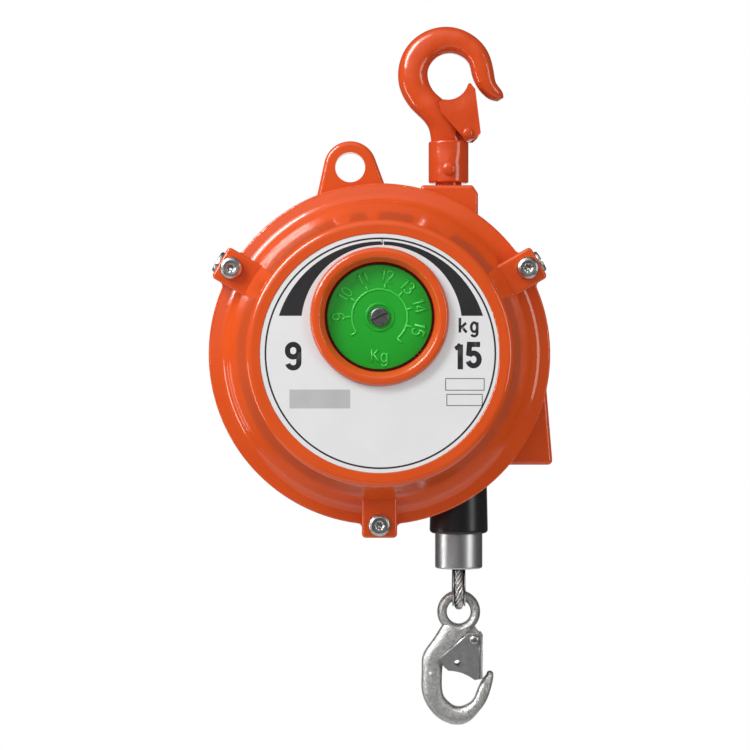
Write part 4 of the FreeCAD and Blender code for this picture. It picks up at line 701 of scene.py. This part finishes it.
def rivet_domes(node, share, rise, body, look):
    """Rounded crowns on both heads of a pin or rivet."""
    lo, hi = node_box(node)
    radius = (hi.x - lo.x) / 2 * share
    sunk = 0.1 * MM
    for end, side, y in (("front", -1, lo.y), ("back", 1, hi.y)):
        dome("%s_crown_%s" % (node, end),
             Vector(((lo.x + hi.x) / 2, y - side * sunk, (lo.z + hi.z) / 2)),
             (radius, radius, rise), body, look, (0, side, 0))


rivet_domes("lower_rivet", 0.92, 1.0 * MM, "lower_hook", "zinc_steel")
rivet_domes("upper_rivet", 0.92, 1.1 * MM, "swivel", "hook_paint")
rivet_domes("collar_pin", 0.88, 1.0 * MM, "swivel", "hook_paint")

# The load hook's two forging marks and its rounded tip.
for mark, x, deep, z, wide in (("left", hook_lo.x + 5.2 * MM, 0.35, 28.0, 1.6),
                               ("tip", hook_hi.x - 4.6 * MM, 1.0, 22.6, 1.4)):
    dome("hook_mark_" + mark, Vector((x, hook_lo.y + deep * MM, hook_lo.z + z * MM)),
         (wide * MM, wide * MM, 0.8 * MM), "lower_hook", "forged_zinc")
dome("hook_tip", Vector((ROPE_X + 17.1 * MM, 0, latch_lo.z + 2.5 * MM)),
     (1.95 * MM, 3.2 * MM, 1.9 * MM), "lower_hook", "forged_zinc", (0.10, 0, 1))

# Painted highlight along the lower latch's front cheek edge, and painted shade along its
# fold, in mm.
LATCH_ZERO = latch_lo.z + 36.8 * MM
for name, path, half, rise, look in (
        ("latch_painted_highlight_edge", [(-10.5, -25.1), (5.4, -11.4), (12.5, -11.9), (12.5, -35.9)],
         0.32, 0.16, "bright_zinc"),
        ("latch_fold_painted_shade", [(11.2, -13.0), (11.2, -36.2)], 0.22, 0.1, "dark_steel")):
    ridge_piece(name, [path], half, rise,
                lambda u, v, up: (ROPE_X + u * MM, latch_lo.y + (0.05 - up) * MM,
                                  LATCH_ZERO + v * MM), "lower_latch", look)


def side_heads():
    """Slotted heads of the two screws in the ends of the upper lugs."""
    # Share of the radius and height in mm, from the washer out to the crown.
    rows = ((0.93, -1.4), (0.97, -0.6), (0.97, 1.1), (0.90, 1.75), (0.55, 1.95), (0.2, 2.0))
    slot_half = 0.75 * MM
    slot_floor = 0.9          # mm
    points = [v.co.copy() for v in frame["nodes"]["side_screws"].data.vertices]
    middle = Vector((PLATE_X, 0, PLATE_Z))
    for name, side in (("side_head_left", -1), ("side_head_right", 1)):
        own = [p for p in points if (p.x - PLATE_X) * side > 0]
        ys = [p.y for p in own]
        centroid = sum(own, Vector()) / len(own)
        out = Vector((centroid.x - middle.x, 0, centroid.z - middle.z)).normalized()
        reach = max((p - middle).dot(out) for p in own)
        radius = (max(ys) - min(ys)) / 2
        across = Vector((0, 1, 0))
        up = out.cross(across)
        base = Vector((middle.x, (max(ys) + min(ys)) / 2, middle.z)) + out * reach

        def spot(a, share, rise):
            u, w = radius * share * math.cos(a), radius * share * math.sin(a)
            low = slot_floor if abs(w) < slot_half and rise > slot_floor else rise
            return base + across * u + up * w + out * low * MM

        bm = bmesh.new()
        rings = [new_ring(bm, 64, lambda a: spot(a, share, rise)) for share, rise in rows]
        join_rings(bm, rings)
        bm.faces.new(rings[-1])
        bm.faces.new(list(reversed(rings[0])))
        placed(name, mesh_from(bm, name), "housing", "zinc_steel")


side_heads()

# ------------------------------------------------------------------ stage
VIEW_X, VIEW_Y, VIEW_Z = -0.041, -0.02, -0.1763          # middle of what the camera sees
CENTRE = Vector((VIEW_X, VIEW_Y, VIEW_Z))
KEY = Vector((-0.95, -0.74, 0.66))


def area_light(name, place, size, power, along=(0, 0, 1)):
    """Softbox that faces the object, its first size across and its second along."""
    light = bpy.data.lights.new(name, "AREA")
    light.shape = "RECTANGLE"
    light.size, light.size_y = size
    light.energy = power
    holder = add_object(name, light)
    backwards = (Vector(place) - CENTRE).normalized()
    across = Vector(along).cross(backwards).normalized()
    up = backwards.cross(across)
    turn = Matrix((across, up, backwards)).transposed().to_4x4()
    holder.matrix_world = Matrix.Translation(place) @ turn


def floor_disc(z=-1.8, radius=2.2, steps=96):
    """Pale floor below the load hook with all the rope out."""
    bm = bmesh.new()
    bmesh.ops.create_circle(bm, cap_ends=True, radius=radius, segments=steps)
    mesh = bpy.data.meshes.new("floor")
    bm.to_mesh(mesh)
    bm.free()
    floor = add_object("floor", mesh)
    floor.location = (0, 0, z)
    n = Look("floor_white")
    n.shade({"Base Color": n.ramp(n.noise(3.0), (0.80, 0.80, 0.80), (0.84, 0.84, 0.84)),
             "Roughness": 0.8})
    mesh.materials.append(n.material)


def studio_world():
    """Soft surround: white to the camera, brighter to gloss where the softbox is."""
    world = bpy.data.worlds.new("studio")
    bpy.context.scene.world = world
    world.use_nodes = True
    n = NodeTree(world.node_tree)
    n.tree.nodes.clear()
    way = n.add("ShaderNodeTexCoord").outputs["Generated"]
    behind = n.split(way)["Y"]

    def towards(direction):
        """Cosine of the angle between a ray and a direction."""
        return n.maths("DOT_PRODUCT", way, direction,
                       kind="ShaderNodeVectorMath").outputs["Value"]

    def brighter(one, two):
        return n.maths("MAXIMUM", one, two).outputs[0]

    def light(strength):
        node = n.add("ShaderNodeBackground", Color=(1, 1, 1, 1))
        n.give(node.inputs["Strength"], strength)
        return node.outputs[0]

    def choose(ray, otherwise, chosen):
        """The chosen shader for one kind of ray, the other shader for the rest."""
        mix = n.add("ShaderNodeMixShader")
        for socket, source in zip(mix.inputs, (ray, otherwise, chosen)):
            n.link(source, socket)
        return mix.outputs[0]

    upper_left = towards((-0.36, -0.60, 0.72))
    rear = n.spread(behind, 0.0, 0.75, end=0.9)          # lights the back of the casing
    sky = n.spread(upper_left, 0.10, 0.72, start=-0.7, end=0.95, ease="SMOOTHSTEP")
    ambient = light(brighter(rear, sky))
    white_back = n.spread(behind, 0.0, 1.0, start=0.89, end=0.985)
    shine = n.spread(upper_left, 0.05, 0.8, start=0.60, end=0.95, ease="SMOOTHSTEP")
    softbox = n.spread(towards((KEY - CENTRE).normalized()), 0.0, 7.0,
                       start=math.cos(math.radians(25)), end=math.cos(math.radians(14)),
                       ease="SMOOTHSTEP")
    mirror = light(brighter(brighter(white_back, shine), softbox))
    path = n.add("ShaderNodeLightPath").outputs
    lit = choose(path["Is Glossy Ray"], ambient, mirror)
    out = n.add("ShaderNodeOutputWorld")
    n.link(choose(path["Is Camera Ray"], lit, light(1.0)), out.inputs["Surface"])


area_light("key", KEY, (0.30, 0.9), 14.2, along=(0.64, 0, 0.77))
area_light("left", (-1.15, -0.20, -0.50), (0.20, 0.55), 2.4)
area_light("right", (1.05, -0.80, -0.02), (0.40, 0.9), 4.0)
floor_disc()
studio_world()

# ------------------------------------------------------------------ camera
SENSOR = 36.0                 # mm
DISTANCE = 1.3
VIEW_WIDTH = 0.405            # what the picture takes in at the view's middle
camera = bpy.data.cameras.new("camera")
camera.sensor_width = SENSOR
camera.lens = SENSOR * (DISTANCE + VIEW_Y) / VIEW_WIDTH
holder = add_object("camera", camera)
holder.location = (VIEW_X, -DISTANCE, VIEW_Z)
holder.rotation_euler = (math.radians(90), 0, 0)
bpy.context.scene.camera = holder
bpy.context.scene.view_settings.view_transform = "Standard"
